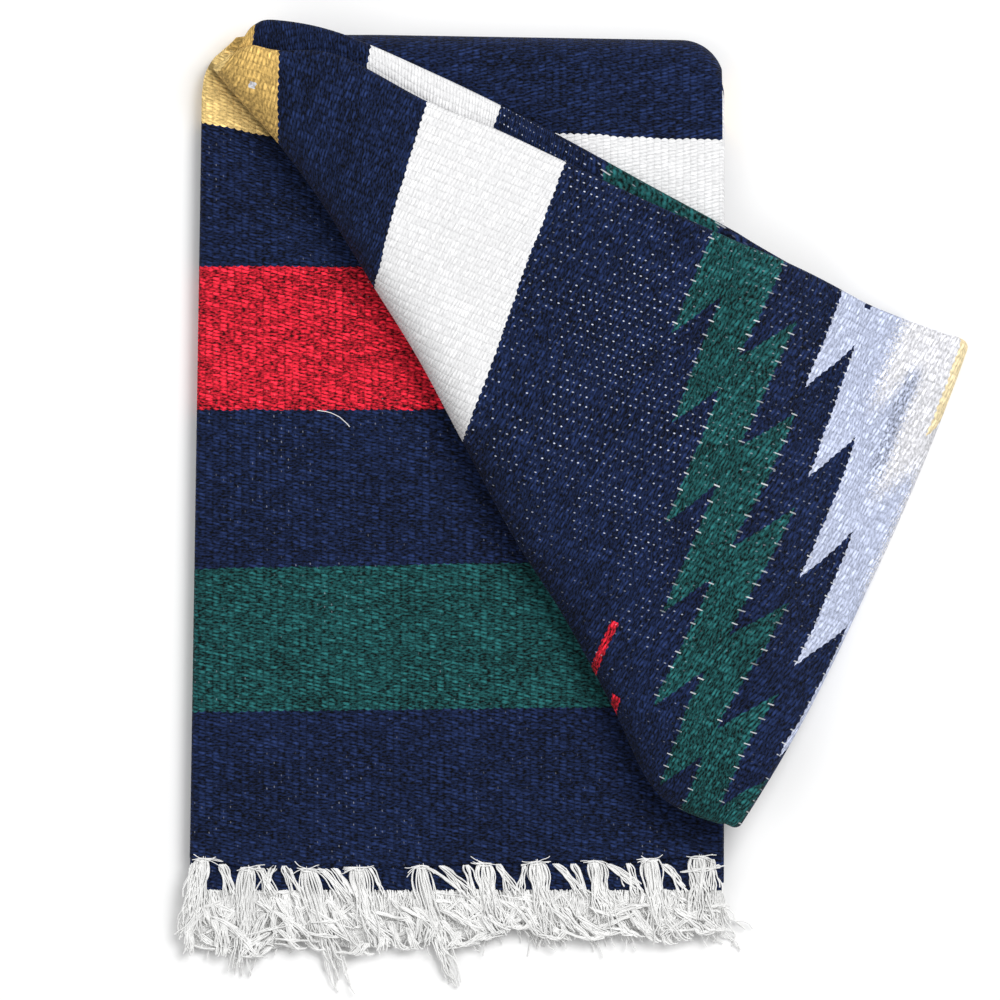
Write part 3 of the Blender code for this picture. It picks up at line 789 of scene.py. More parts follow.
def pattern_group(settings):
    """Stripes and serrated diamonds from the place in the weave, with painted shade in the crease,
    the trough and beside the diagonal fold.
    """
    name = "Serape Pattern"
    if name in bpy.data.node_groups:
        return bpy.data.node_groups[name]
    tree, given, made = new_group(
        name,
        [("Across", 0.0), ("Along", 0.0), ("Fold Shade", 0.0)],
        [("Colour", COLOUR), ("Pale", FLOAT), ("Dashes", FLOAT), ("Covered", FLOAT)],
    )
    colours = {shade: (*getattr(settings, shade), 1.0) for shade in DYES}
    across, along = given["Across"], given["Along"]
    place = pair(tree, across, along)
    scallop = abs((across * (math.pi / settings.rib_pitch)).to("SINE"))
    wander = noise_value(tree, place, 60.0)
    along = along + scallop * SCALLOP_DEPTH + wander * WANDER_DEPTH - EDGE_SHIFT
    colour = stripe_ramp(tree, along, colours.get)
    paleness = stripe_ramp(tree, along, paleness_of)
    mirrored = DIAMOND_CENTRE - abs(along - DIAMOND_CENTRE)
    side = abs(across)
    mottle = (noise_value(tree, place, 900.0) - 0.5) * 0.035
    dash_place = side / DASH_PITCH
    dash_bright = random_at(tree, dash_place.to("FLOOR"), (along * 80.0).to("ROUND"))
    dash_here = (dash_place.to("FRACT") < 0.085) * dash_bright.to("MULTIPLY_ADD", 0.75, 0.25)
    dashes = covered = 0.0
    for start, shade, first, slope in DIAMONDS:
        from_start = mirrored - start
        if shade == MOTTLED:
            from_start = from_start + mottle
        place_in = from_start / TOOTH_PITCH
        tooth = place_in.to("FLOOR")
        inner = tooth * TOOTH_STEP + first - (place_in - tooth) * slope - side
        inside = ramp_value(tree, inner, -0.012, 0.012) if shade == MOTTLED else inner > 0.0
        inside = inside * (place_in > 0.0)
        colour = blend_colour(tree, inside, colour, colours[shade])
        paleness = blend_colour(tree, inside, paleness, paleness_of(shade))
        covered = inside.to("MAXIMUM", covered)
        if shade in DASHED:
            near_edge = abs((place_in + 0.5).to("FRACT") - 0.5)
            low_end = place_in.to("ROUND") * TOOTH_STEP - (TOOTH_STEP + slope - first)
            within = (side > low_end) * (side < low_end + (TOOTH_STEP + slope))
            mark = (near_edge < 0.09) * dash_here * within * (place_in > -0.2)
            dashes = mark.to("MAXIMUM", dashes)
    # Painted shade in the trough: the colour turns a darker blue-grey there and more of the weave's
    # shade shows through
    off = abs(along - TROUGH_ALONG)
    trough_shade = 1.0 - ramp_value(tree, off, TROUGH_HALF * 0.2, TROUGH_HALF)
    trough_shade = trough_shade * ramp_value(tree, across, TROUGH_START, TROUGH_START + TROUGH_FADE)
    trough_shade = trough_shade * (1.0 - ramp_value(tree, across, TROUGH_END - TROUGH_FADE, TROUGH_END))
    feed(tree, made["Pale"], paleness - trough_shade * 0.40)
    trough_shade_colour = tuple(part * 0.84 for part in settings.pale_blue) + (1.0,)
    colour = blend_colour(tree, trough_shade * 0.85, colour, trough_shade_colour)
    on_flap = given["Fold Shade"] > 0.01
    for middle, start, end, half, shade in SLIVERS:
        inside = (abs(along - middle) < half) * (across > start) * (across < end)
        colour = blend_colour(tree, inside * on_flap, colour, colours[shade])
    # Painted shadow: a dark line in the crease beside the diagonal fold, on the front's yellow
    off = abs(across * CREASE_SHADOW_X + along * CREASE_SHADOW_Y - CREASE_SHADOW_AT)
    crease_shadow_share = 1.0 - ramp_value(tree, off, CREASE_SHADOW_HALF * 0.3, CREASE_SHADOW_HALF)
    crease_shadow_share = crease_shadow_share * (across < CREASE_SHADOW_END) * (along < STRIPES[6][0])
    # Painted shade: the flap darkens towards the diagonal fold, as far as Fold Shade says
    fold_across = along.to("MULTIPLY_ADD", FOLD_SLOPE, FOLD_ACROSS - FOLD_ALONG * FOLD_SLOPE)
    near_fold = ramp_value(tree, across - fold_across, -0.050, 0.010) * given["Fold Shade"]
    # Painted shade: the crease's shadow and the shade beside the fold blend the colour towards
    # black
    dark = crease_shadow_share * 0.60 + near_fold
    feed(tree, made["Colour"], blend_colour(tree, dark, colour, (0.0, 0.0, 0.0, 1.0)))
    feed(tree, made["Dashes"], dashes)
    feed(tree, made["Covered"], covered)
    return tree


def weave_group(settings):
    """Weft beaten over the warp: its height, its shade and the warp's pale specks."""
    name = "Ribbed Weave"
    if name in bpy.data.node_groups:
        return bpy.data.node_groups[name]
    tree, given, made = new_group(
        name,
        [
            ("Across", 0.0),
            ("Along", 0.0),
            ("Rib Pitch", settings.rib_pitch),
            ("Pick Pitch", settings.pick_pitch),
            ("Speck Share", 0.3),
        ],
        [("Height", FLOAT), ("Shade", FLOAT), ("Specks", FLOAT)],
    )
    across, along = given["Across"], given["Along"]
    place = pair(tree, across, along)
    across = across + (noise_value(tree, place, 90.0) - 0.5) * 0.0011
    along = along + (noise_value(tree, place, 130.0) - 0.5) * 0.0016
    rib = across / given["Rib Pitch"]
    rib_number = rib.to("FLOOR")
    off_rib = rib - rib_number - 0.5
    odd = rib_number.to("PINGPONG", 1.0) * 0.5
    pick = along / given["Pick Pitch"] + odd + off_rib * 0.4
    pick_number = pick.to("FLOOR")
    rib_round = (off_rib * math.pi).to("COSINE")
    pick_round = ((pick - pick_number - 0.5) * math.pi).to("COSINE")
    yarn = random_at(tree, rib_number, pick_number)
    row = random_at(tree, 3.0, pick_number)
    grain = noise_value(tree, vector_calc(tree, "MULTIPLY", place, (400.0, 900.0, 1.0)), 1.0)
    rib_dome = rib_round.to("SQRT")
    height = rib_dome * 0.40 + pick_round * 0.40 + yarn * 0.35 + grain * 0.60
    streak = (yarn**2.0).to("MULTIPLY_ADD", 2.1, 0.05)
    patch = noise_value(tree, place, 20.0, 3.0)
    # Painted shade and highlight at the scale of the yarn: each float is lighter on its crown and
    # darker towards the gaps, on top of the random tone of each yarn, row, grain and patch
    shade = rib_dome * pick_round**1.5 * streak + row * 0.14 + (grain - 0.5) * 4.8
    shade = (shade + (patch - 0.5) * 0.7 + 0.52).to("MAXIMUM", 0.06)
    speck = along / settings.speck_pitch + odd
    speck_number = speck.to("FLOOR")
    drift = random_at(tree, speck_number, rib_number) - 0.5
    off_speck = speck - speck_number - 0.5 + drift * 0.25 + off_rib * 0.25
    high = off_speck * (settings.speck_pitch / SPECK_LENGTH)
    wide = off_rib * (settings.rib_pitch / SPECK_WIDTH)
    spot = 1.0 - ramp_value(tree, high**2.0 + wide**2.0, 0.4, 1.3)
    chance = random_at(tree, rib_number, speck_number + 0.5)
    region = noise_value(tree, place, 14.0, 3.0)
    from_apex = ramp_value(tree, abs(along - 0.59), 0.05, 0.10)
    share = (given["Speck Share"] + (region - 0.5) * 1.6) * from_apex
    hidden = ramp_value(tree, across, 0.14, 0.27) * ramp_value(tree, along, 0.62, 0.66)
    seen = (share - hidden * 0.55 - chance).to("MAXIMUM", 0.0).to("POWER", 1.5, clamp=True)
    feed(tree, made["Height"], height)
    feed(tree, made["Shade"], shade)
    feed(tree, made["Specks"], spot * seen)
    return tree


def new_material(name):
    """A material, its node tree and the inputs of its surface."""
    material = bpy.data.materials.new(name)
    material.use_nodes = True
    tree = material.node_tree
    return material, tree, tree.nodes["Principled BSDF"].inputs


def add_relief(tree, surface, height, strength, distance):
    inputs = {"Strength": strength, "Distance": distance, "Height": height}
    feed(tree, surface["Normal"], wire(tree, "ShaderNodeBump", inputs))


def object_place(tree):
    return wire(tree, "ShaderNodeTexCoord", output="Object")


def weave_material(name, settings, speck_share, rib_pitch, on_surface=True, fold_shade=0.0):
    """Wool weft over a pale warp, with the serape's stripes in it."""
    if name in bpy.data.materials:
        return bpy.data.materials[name]
    material, tree, surface = new_material(name)
    source = wire(tree, "ShaderNodeUVMap", uv_map="weave") if on_surface else object_place(tree)
    split = put(tree, "ShaderNodeSeparateXYZ", {0: source}).outputs
    inputs = {"Across": Wire(tree, split[0]), "Along": Wire(tree, split[1])}
    pattern, weave = (
        {
            socket.name: Wire(tree, socket)
            for socket in put(tree, "ShaderNodeGroup", {**inputs, **more}, node_tree=group).outputs
        }
        for group, more in (
            (pattern_group(settings), {"Fold Shade": fold_shade}),
            (weave_group(settings), {"Speck Share": speck_share, "Rib Pitch": rib_pitch}),
        )
    )
    shade, pale = weave["Shade"], pattern["Pale"]
    dark = 1.0 - pale
    tone = shade.to("MULTIPLY_ADD", 0.12, 0.88) * pale + shade * dark
    inputs = {0: pattern["Colour"], "Scale": tone}
    dyed = wire(tree, "ShaderNodeVectorMath", inputs, operation="SCALE")
    specks = weave["Specks"] * dark * pattern["Covered"].to("MULTIPLY_ADD", -0.65, 1.0)
    colour = blend_colour(tree, specks, dyed, WARP_SPECK)
    colour = blend_colour(tree, pattern["Dashes"] * 0.8, colour, WARP_DASH)
    feed(tree, surface["Base Color"], colour)
    feed(tree, surface["Roughness"], shade.to("MULTIPLY_ADD", 0.10, 0.82))
    surface["Specular IOR Level"].default_value = 0.12
    surface["Sheen Weight"].default_value = 0.02
    surface["Sheen Roughness"].default_value = 0.5
    add_relief(tree, surface, weave["Height"], 0.9, 0.0009)
    return material


def felt_material(settings):
    """Matted cotton yarn: strands of many directions, with painted shade in the gaps between them.
    """
    material, tree, surface = new_material("cotton_felt")
    inputs = {"Vector": object_place(tree), "Scale": 110.0, "Detail": 4.0, "Distortion": 2.5}
    flow = wire(tree, "ShaderNodeTexNoise", inputs, "Fac")
    gap = ramp_value(tree, abs((flow * 16.0).to("FRACT") - 0.5), 0.02, 0.22)
    # Painted shade: the gaps between strands take a darker copy of the cotton
    low = tuple(part * 0.60 for part in settings.cotton) + (1.0,)
    feed(tree, surface["Base Color"], blend_colour(tree, gap, low, (*settings.cotton, 1.0)))
    surface["Roughness"].default_value = 0.85
    surface["Specular IOR Level"].default_value = 0.1
    add_relief(tree, surface, gap, 0.8, 0.0008)
    return material


def yarn_material(settings):
    """Undyed cotton yarn with fine fibres."""
    material, tree, surface = new_material("cotton_yarn")
    place = object_place(tree)
    fibre = noise_value(tree, place, 1400.0, 3.0)
    tone = ramp_value(tree, fibre * 0.5 + noise_value(tree, place, 70.0) * 0.5, 0.3, 0.65)
    low = tuple(part * 0.84 for part in settings.cotton) + (1.0,)
    feed(tree, surface["Base Color"], blend_colour(tree, tone, low, (*settings.cotton, 1.0)))
    feed(tree, surface["Roughness"], fibre.to("MULTIPLY_ADD", 0.15, 0.78))
    surface["Specular IOR Level"].default_value = 0.25
    add_relief(tree, surface, fibre, 0.5, 0.0004)
    return material


# Cloths


def front_along(x, y):
    """How far along the blanket a point of the front lies."""
    right = table_value(FRONT_SKEW, y, 1)
    share = (x - LEFT_NEAR) / (right - LEFT_NEAR)
    slip = mix(table_value(FRONT_SKEW, y, 2), table_value(FRONT_SKEW, y, 3), min(share, 1.3))
    return y + HEM_ALONG + slip


def front_cloth(settings):
    """The top layer of the lower half, which rounds the left fold and ends at the hem."""
    rows, weave = [], []
    for step in range(FRONT_ROWS + 1):
        y = mix(-HALF_LENGTH, PANEL_FAR_END, step / FRONT_ROWS)
        left, right = left_edge(y + PANEL_INSET), right_edge(y + PANEL_INSET) - SELVEDGE_SETBACK
        line = []
        for turn in range(FOLD_STEPS + 1):
            angle = math.pi * turn / FOLD_STEPS
            line.append(
                (
                    left + PANEL_RADIUS - PANEL_RADIUS * math.sin(angle),
                    PANEL_LOW + PANEL_RADIUS - PANEL_RADIUS * math.cos(angle),
                )
            )
        for column in range(1, FRONT_COLUMNS + 1):
            line.append((mix(left + PANEL_RADIUS, right, column / FRONT_COLUMNS), PANEL_HIGH))
        arcs = arc_lengths(line, FOLD_STEPS)
        hem_share = 1 - smooth((y + HALF_LENGTH) / HEM_BLEND)
        row, places = [], []
        for (x, z), arc in zip(line, arcs):
            y_here = y + hem_offset(x) * hem_share
            open_share = smooth((fold_x_at(y_here) - x - 0.006) / 0.020)
            on_top = smooth((x - left) / 0.012)
            lift = ridge_lift(FRONT_RIDGES, x, y_here)
            lift += 0.0007 * ripple(x, y_here, 28.0, 3.0)
            row.append((x, y_here, z + lift * open_share * on_top))
            flat_x = left + PANEL_RADIUS + arc
            places.append((flat_x, front_along(flat_x, y_here)))
        rows.append(row)
        weave.append(places)
    material = flat_weave(settings)
    piece = cloth_shell("front_cloth", rows, weave, 1, material)
    return dress(piece, "serape_weave", "front_panel")


def far_cloth(settings):
    """The top layer of the upper half, which wraps the far fold down to the floor."""
    turn_x = crease(crease_place(1, UPPER_NEAR_END))[0]
    top = Z_FLAP_UNDER - GAP
    xs = far_columns(FAR_COLUMNS)
    creases = [crease(mix(0.0, LAST_ROW - 1.0, step / 120)) for step in range(121)]
    rows, weave = [], []
    for x in xs:
        near = UPPER_NEAR_END
        if x < turn_x:
            for one, two in zip(creases, creases[1:]):
                if one[0] <= x <= two[0]:
                    near = mix(one[1], two[1], (x - one[0]) / (two[0] - one[0]))
        centre = far_edge(x) - FAR_RADIUS
        line = [(mix(near, centre, step / FAR_ROWS), top) for step in range(FAR_ROWS)]
        for step in range(2 * FOLD_STEPS + 1):
            angle = math.pi * step / (2 * FOLD_STEPS)
            height = FAR_RADIUS + FAR_RADIUS * math.cos(angle)
            line.append((centre + FAR_RADIUS * math.sin(angle), height))
        arcs = arc_lengths(line, 0)
        row, places = [], []
        for (y, z), arc in zip(line, arcs):
            lift = 0.0
            if z == top:
                lift = ridge_lift(FAR_RIDGES, x, y) * smooth((centre - y) / 0.01)
            row.append((x, y, z + lift))
            curve = 0.0035 * smooth((0.150 - x) / 0.09) * smooth((y - 0.10) / 0.08)
            places.append((x, FAR_STRIPE_ALONG - (near + arc - FAR_STRIPE_Y) + curve - 0.002))
        rows.append(row)
        weave.append(places)
    material = flat_weave(settings)
    piece = cloth_shell("far_cloth", rows, weave, -1, material)
    return dress(piece, "serape_weave", "back_panel")


def flat_weave(settings):
    """The weave of the flat layers."""
    return weave_material("front_weave", settings, settings.front_specks, settings.rib_pitch)


def flap_weave(settings):
    """The weave of the turned-back layers, with painted shade beside the diagonal fold."""
    specks, pitch = settings.flap_specks, settings.flap_rib_pitch
    return weave_material("flap_weave", settings, specks, pitch, fold_shade=FOLD_SHADE)


def flap_places():
    last = LAST_ROW - END_ROW_SHARE
    return [last * step / FLAP_STATIONS for step in range(FLAP_STATIONS + 1)]


def face_line(values):
    """The layer that shows: up round the diagonal roll, across the top, round the far edge."""
    top, big, reach = values["half"], values["big"], values["reach"]
    centre = (top + values["low"]) / 2
    small = (top - GAP / 2) / 2
    stop = values["width"] - small
    line = []
    for step in range(ROLL_STEPS + 1):
        angle = math.pi * step / ROLL_STEPS
        line.append((reach * (1 - math.sin(angle)), centre - big * math.cos(angle)))
    for step in range(1, FLAP_COLUMNS_ON_TOP):
        line.append((mix(reach, stop, step / FLAP_COLUMNS_ON_TOP), top))
    for step in range(EDGE_STEPS + 1):
        angle = math.pi * step / EDGE_STEPS
        line.append((stop + small * math.sin(angle), GAP / 2 + small + small * math.cos(angle)))
    line.append((stop - values["leg"], GAP / 2))
    return line, ROLL_STEPS + FLAP_COLUMNS_ON_TOP + EDGE_STEPS // 2


def back_line(values):
    """The layer under the flap: along the underside and round the edge that stands out."""
    bottom = values["half"]
    small = (bottom - GAP / 2) / 2
    stop = values["width"] + values["under"] - small
    start = values["reach"] + 2 * GAP
    count = FLAP_COLUMNS_ON_TOP // 2
    line = [(mix(start, stop, step / count), -bottom) for step in range(count)]
    for step in range(EDGE_STEPS + 1):
        angle = math.pi * step / EDGE_STEPS
        line.append((stop + small * math.sin(angle), -GAP / 2 - small - small * math.cos(angle)))
    line.append((min(values["width"] - small, stop) - values["leg"], -GAP / 2))
    return line, count + EDGE_STEPS // 2


def flap_sheet(name, make_line, along_name, set_back, turns, outward, material):
    """Lofts one layer of the flap through its sections and round its free end."""
    sections = [(station(place), math.pi / 2) for place in flap_places()]
    end = end_station(set_back)
    sections += [(end, turn) for turn in turns]
    rows, weave = [], []
    for values, turn in sections:
        line, edge = make_line(values)
        arcs = arc_lengths(line, edge)
        start = ACROSS_X * (values["edge_x"] - MIRROR_X) + ACROSS_Y * (values["edge_y"] - MIRROR_Y)
        along = values[along_name] + (math.pi / 2 - turn) * FLAP_HALF
        if turn < math.pi / 2 or values is end:
            along -= FLAP_HALF
        row, places = [], []
        for (distance, height), arc in zip(line, arcs):
            lift = 0.0
            if height == values["half"]:
                x, y = flap_plan(values, distance)
                margin = min(distance - values["reach"], values["width"] - distance)
                lift = ridge_lift(FLAP_RIDGES, x, y) + 0.0008 * ripple(x, y, 30.0, 7.0)
                lift *= smooth(margin / 0.016) * smooth(2 * turn / math.pi)
            row.append(flap_point(values, distance, height + lift, turn))
            across = start - arc
            slip = [table_value(FLAP_SLIP, across, column) for column in (1, 2)]
            places.append((across + slip[0], along + slip[1]))
        rows.append(row)
        weave.append(places)
    return cloth_shell(name, rows, weave, outward, material)


def flap_cloth(settings):
    turns = [math.pi / 2 - math.pi * step / END_STEPS for step in range(END_STEPS + 1)]
    material = flap_weave(settings)
    piece = flap_sheet("flap_cloth", face_line, "face_along", 0.0, turns, -1, material)
    return dress(piece, "diamond_weave", "flap_face")


def under_flap_cloth(settings):
    turns, material = [math.pi / 2], flap_weave(settings)
    piece = flap_sheet("under_flap_cloth", back_line, "back_along", 3 * GAP, turns, 1, material)
    return dress(piece, "serape_weave", "flap_back")


def densify(loop, counts):
    """Divides each run of a closed loop into its own count of steps."""
    found = []
    for index, (x, y) in enumerate(loop):
        next_x, next_y = loop[(index + 1) % len(loop)]
        steps = counts[index]
        shares = [step / steps for step in range(steps)]
        found += [(mix(x, next_x, share), mix(y, next_y, share)) for share in shares]
    return found


def layer_levels(first, count):
    """(layer, height, tuck) over each layer's rounded edge, with a groove between layers."""
    found = []
    for layer in range(first, first + count):
        base = layer * LAYER
        for share, tuck in ((0.0, 0.0010), (0.2, 0.0003), (0.5, 0.0), (0.8, 0.0003), (1.0, 0.0010)):
            found.append((layer, base + CLOTH * share, tuck))
        if layer < first + count - 1:
            found.append((layer, base + CLOTH + GAP * 0.5, 0.0024))
    return found


def right_side(layer, z, tuck):
    """The right side shows one fold and two selvedges for each four layers."""
    group, place = divmod(layer, 4)
    if place < 2:
        low = group * 4 * LAYER
        return RIGHT - round_inset(z, low, low + LAYER + CLOTH)
    return RIGHT - SELVEDGE_SETBACK * (place - 1) - tuck


def far_side(right, z):
    """The far side of hidden layers at z, from right to left."""
    corner = (right, far_inner_edge(right, z) - CORNER_SETBACK)
    return [corner] + [(x, far_inner_edge(x, z)) for x in far_columns(12)[-2::-1]]


def stack_piece(name, loops, levels, along_at, material):
    """A rounded pile of layers from one loop a level, closed at both ends."""
    points, weave, faces = [], [], []
    for loop, (layer, z, tuck) in zip(loops, levels):
        for x, y in loop:
            shift = 0.0007 * noise.noise(Vector((x * 55, y * 55, layer * 3.7)))
            points.append((x, y + shift, z))
            weave.append((x + z, along_at(x, y) + z))
    width = len(loops[0])
    for level in range(len(loops) - 1):
        for index in range(width):
            after = (index + 1) % width
            here = level * width
            faces.append((here + index, here + after, here + width + after, here + width + index))
    faces.append(tuple(range(width)))
    faces.append(tuple(range((len(loops) - 1) * width, len(loops) * width)))
    return mesh_piece(name, points, faces, weave, material)


def lower_stack(settings):
    """The hidden layers of the lower half, whose hems show past the top one."""
    corner_start = HALF_LENGTH - FAR_LEFT_RADIUS - GAP
    corner_rows = [mix(PANEL_FAR_END, corner_start, step / 6) for step in range(7)]
    inside = (PANEL_RADIUS - CLOTH) * 0.97 - GAP
    levels = layer_levels(0, HALF_STACK_LAYERS - 1)
    loops = []
    for layer, z, tuck in levels:
        if layer < 4:
            draw_in = round_inset(z, 0, 4 * LAYER - GAP)
        else:
            height = min(abs(z - PANEL_LOW - PANEL_RADIUS), inside)
            draw_in = PANEL_RADIUS - math.sqrt(inside**2 - height**2)
        right = right_side(layer, z, tuck)
        near = -HALF_LENGTH - HEM_STEPS[layer] + tuck
        loop = [(left_edge(near + PANEL_INSET) + draw_in, near), (right, near)]
        loop += far_side(right, z)
        corner_x = WRAP_START - CREASE_MARGIN
        loop += [(x, far_edge(x) - tuck) for x in (corner_x, corner_x - 0.011)]
        loop += [(left_edge(y + PANEL_INSET) + draw_in, y) for y in corner_rows]
        counts = [70, 50] + [1] * (len(loop) - 3) + [50]
        loops.append(densify(loop, counts))
    material = flat_weave(settings)
    piece = stack_piece("lower_stack", loops, levels, lambda x, y: y + HEM_ALONG, material)
    return dress(piece, "serape_weave", "lower_layers")


def upper_stack(settings):
    """The hidden layers of the upper half that stay in place behind the diagonal."""
    first, last = crease_place(0, WRAP_START), crease_place(1, UPPER_NEAR_END)
    diagonal = [crease(mix(first, last, step / CREASE_STEPS)) for step in range(CREASE_STEPS + 1)]
    levels = layer_levels(HALF_STACK_LAYERS, HALF_STACK_LAYERS - 1)
    loops = []
    for layer, z, tuck in levels:
        right = right_side(layer, z, tuck)
        loop = list(diagonal) + [(right, UPPER_NEAR_END + tuck)] + far_side(right, z)
        counts = [1] * CREASE_STEPS + [12, 50] + [1] * (len(loop) - CREASE_STEPS - 2)
        loops.append(densify(loop, counts))
    material = flat_weave(settings)
    piece = stack_piece(
        "upper_stack", loops, levels, lambda x, y: FAR_STRIPE_ALONG - (y - FAR_STRIPE_Y), material
    )
    return dress(piece, "serape_weave", "upper_layers")


# Fringe


def yarn_tree():
    """Geometry nodes that spin loose threads round each guide line."""
    name = "Loose Threads"
    if name in bpy.data.node_groups:
        return bpy.data.node_groups[name]
    tree = bpy.data.node_groups.new(name, "GeometryNodeTree")
    tree.is_modifier = True
    for label, kind, way in (
        ("Geometry", "NodeSocketGeometry", "INPUT"),
        ("Threads", "NodeSocketInt", "INPUT"),
        ("Thread Radius", FLOAT, "INPUT"),
        ("Spread", FLOAT, "INPUT"),
        ("Flatness", FLOAT, "INPUT"),
        ("Wave", FLOAT, "INPUT"),
        ("Wave Scale", FLOAT, "INPUT"),
        ("Shortest", FLOAT, "INPUT"),
        ("Points", "NodeSocketInt", "INPUT"),
        ("Seed", "NodeSocketInt", "INPUT"),
        ("Yarn", "NodeSocketMaterial", "INPUT"),
        ("Geometry", "NodeSocketGeometry", "OUTPUT"),
    ):
        tree.interface.new_socket(name=label, in_out=way, socket_type=kind)
    given = group_inputs(tree)

    def step(kind, inputs, output="Geometry", **settings):
        return wire(tree, "GeometryNode" + kind, inputs, output, **settings)

    def chance(low, high, offset):
        inputs = {2: low, 3: high, "Seed": given["Seed"] + float(offset)}
        return wire(tree, "FunctionNodeRandomValue", inputs, 1, data_type="FLOAT")

    def read(label):
        return step("InputNamedAttribute", {"Name": label}, "Attribute", data_type="FLOAT")

    shape = step("MeshToCurve", {"Mesh": given["Geometry"]}, "Curve")
    shape = step("ResampleCurve", {"Curve": shape, "Count": given["Points"]}, "Curve")
    inputs = {"Geometry": shape, "Amount": given["Threads"]}
    shape = step("DuplicateElements", inputs, domain="SPLINE")
    for offset, (label, low, high) in enumerate(THREAD_CHANCES, 1):
        inputs = {"Geometry": shape, "Name": label, "Value": chance(low, high, offset)}
        shape = step("StoreNamedAttribute", inputs, domain="CURVE", data_type="FLOAT")
    along = step("SplineParameter", {}, "Factor")
    profile = put(tree, "ShaderNodeFloatCurve", {"Value": along})
    curve = profile.mapping.curves[0]
    curve.points[0].location = (0.0, 0.38)
    curve.points[1].location = (1.0, 1.0)
    for x, y in ((0.05, 0.52), (0.17, 0.74), (0.34, 0.56), (0.6, 0.72), (0.8, 0.88)):
        curve.points.new(x, y)
    profile.mapping.update()
    radius = Wire(tree, profile.outputs[0]) * read("reach") * given["Spread"]
    angle = read("start_angle") + read("twist") * along
    turned = pair(
        tree, radius * angle.to("COSINE"), 0.0, radius * angle.to("SINE") * given["Flatness"]
    )
    position = step("InputPosition", {}, 0)
    own_place = vector_calc(tree, "ADD", position, pair(tree, read("own"), read("own")))
    inputs = {"Vector": own_place, "Scale": given["Wave Scale"], "Detail": 1.0}
    cloud = wire(tree, "ShaderNodeTexNoise", inputs, "Color")
    centred = vector_calc(tree, "SUBTRACT", cloud, (0.5, 0.5, 0.5))
    strength = given["Wave"] * 2.0 * ramp_value(tree, along, 0.14, 0.55)
    size = pair(tree, strength, strength, strength * given["Flatness"])
    offset = vector_calc(tree, "ADD", vector_calc(tree, "MULTIPLY", centred, size), turned)
    shape = step("SetPosition", {"Geometry": shape, "Offset": offset})
    split = put(tree, "ShaderNodeSeparateXYZ", {0: step("InputPosition", {}, 0)})
    x, y, z = (Wire(tree, socket) for socket in split.outputs)
    held = pair(tree, x, y, z.to("MAXIMUM", given["Thread Radius"] * 1.05))
    shape = step("SetPosition", {"Geometry": shape, "Position": held})
    inputs = {"Curve": shape, "End": chance(given["Shortest"], 1.0, 5)}
    shape = step("TrimCurve", inputs, "Curve", mode="FACTOR")
    inputs = {"Resolution": 4, "Radius": given["Thread Radius"]}
    ring = step("CurvePrimitiveCircle", inputs, "Curve", mode="RADIUS")
    inputs = {"Curve": shape, "Profile Curve": ring, "Fill Caps": True}
    shape = step("CurveToMesh", inputs, "Mesh")
    shape = step("SetShadeSmooth", {"Geometry": shape})
    shape = step("RealizeInstances", {"Geometry": shape})
    shape = step("SetMaterial", {"Geometry": shape, "Material": given["Yarn"]})
    feed(tree, tree.nodes.new("NodeGroupOutput").inputs["Geometry"], shape)
    return tree


def link(name, mesh):
    """A new object in the scene."""
    piece = bpy.data.objects.new(name, mesh)
    bpy.context.scene.collection.objects.link(piece)
    return piece


def spin(name, guides, yarn, lie, threads, radius, seed, spread=None):
    """A plain mesh of threads round the guide lines, which lie as a row of the table says."""
    points, edges = [], []
    for guide in guides:
        first = len(points)
        points += guide
        edges += [(first + step, first + step + 1) for step in range(len(guide) - 1)]
    mesh = bpy.data.meshes.new(name + "_guides")
    mesh.from_pydata(points, edges, [])
    source = link(name + "_guides", mesh)
    tree = yarn_tree()
    modifier = source.modifiers.new("Loose Threads", "NODES")
    modifier.node_group = tree
    sizes = dict(zip(("Spread", "Flatness", "Wave", "Wave Scale", "Shortest", "Points"), LIES[lie]))
    sizes.update({"Threads": threads, "Thread Radius": radius, "Seed": seed, "Yarn": yarn})
    if spread is not None:
        sizes["Spread"] = spread
    for item in tree.interface.items_tree:
        if item.in_out == "INPUT" and item.name in sizes:
            modifier[item.identifier] = sizes[item.name]
    graph = bpy.context.evaluated_depsgraph_get()
    made = bpy.data.meshes.new_from_object(source.evaluated_get(graph), depsgraph=graph)
    bpy.data.objects.remove(source)
    bpy.data.meshes.remove(mesh)
    made.name = name
    for label, low, high in THREAD_CHANCES:
        if label in made.attributes:
            made.attributes.remove(made.attributes[label])
    if not made.polygons:
        raise RuntimeError(f"{name} has no threads")
    return link(name, made)


def fall_height(y, start, rest):
    """The height of a lock's middle line at y, as it falls past the hems to the floor."""
    drop_from = -HALF_LENGTH - FRINGE_DROP_START
    drop_to = drop_from - FRINGE_DROP_LENGTH
    height = mix(start, rest, smooth((drop_from - y) / FRINGE_DROP_LENGTH))
    return height - LONG_LOCK_DROP * smooth((drop_to - y) / LONG_LOCK_DROP_LENGTH)


def tassel_guide(x, length, sway, layer, step, rest, root_back=0.0012):
    """The middle line of one tassel, from inside the hem to its tip."""
    start = layer * LAYER + CLOTH / 2
    hem = -HALF_LENGTH - step + (hem_offset(x) if layer == HALF_STACK_LAYERS - 1 else 0.0)
    points = []
    for index in range(15):
        share = index / 14
        y = hem + root_back - (length + root_back) * share
        points.append((x + sway * share**1.4, y, fall_height(y, start, rest)))
    return points


def front_fringe(settings, yarn):
    guides = [tassel_guide(x, length, sway, 7, 0.0, 0.0078) for x, length, sway in TASSELS]
    piece = spin(
        "front_fringe",
        guides,
        yarn,
        "tassel",
        settings.threads,
        settings.thread_radius,
        settings.seed,
    )
    return dress(piece, "fringe_yarn", "fringe_front")


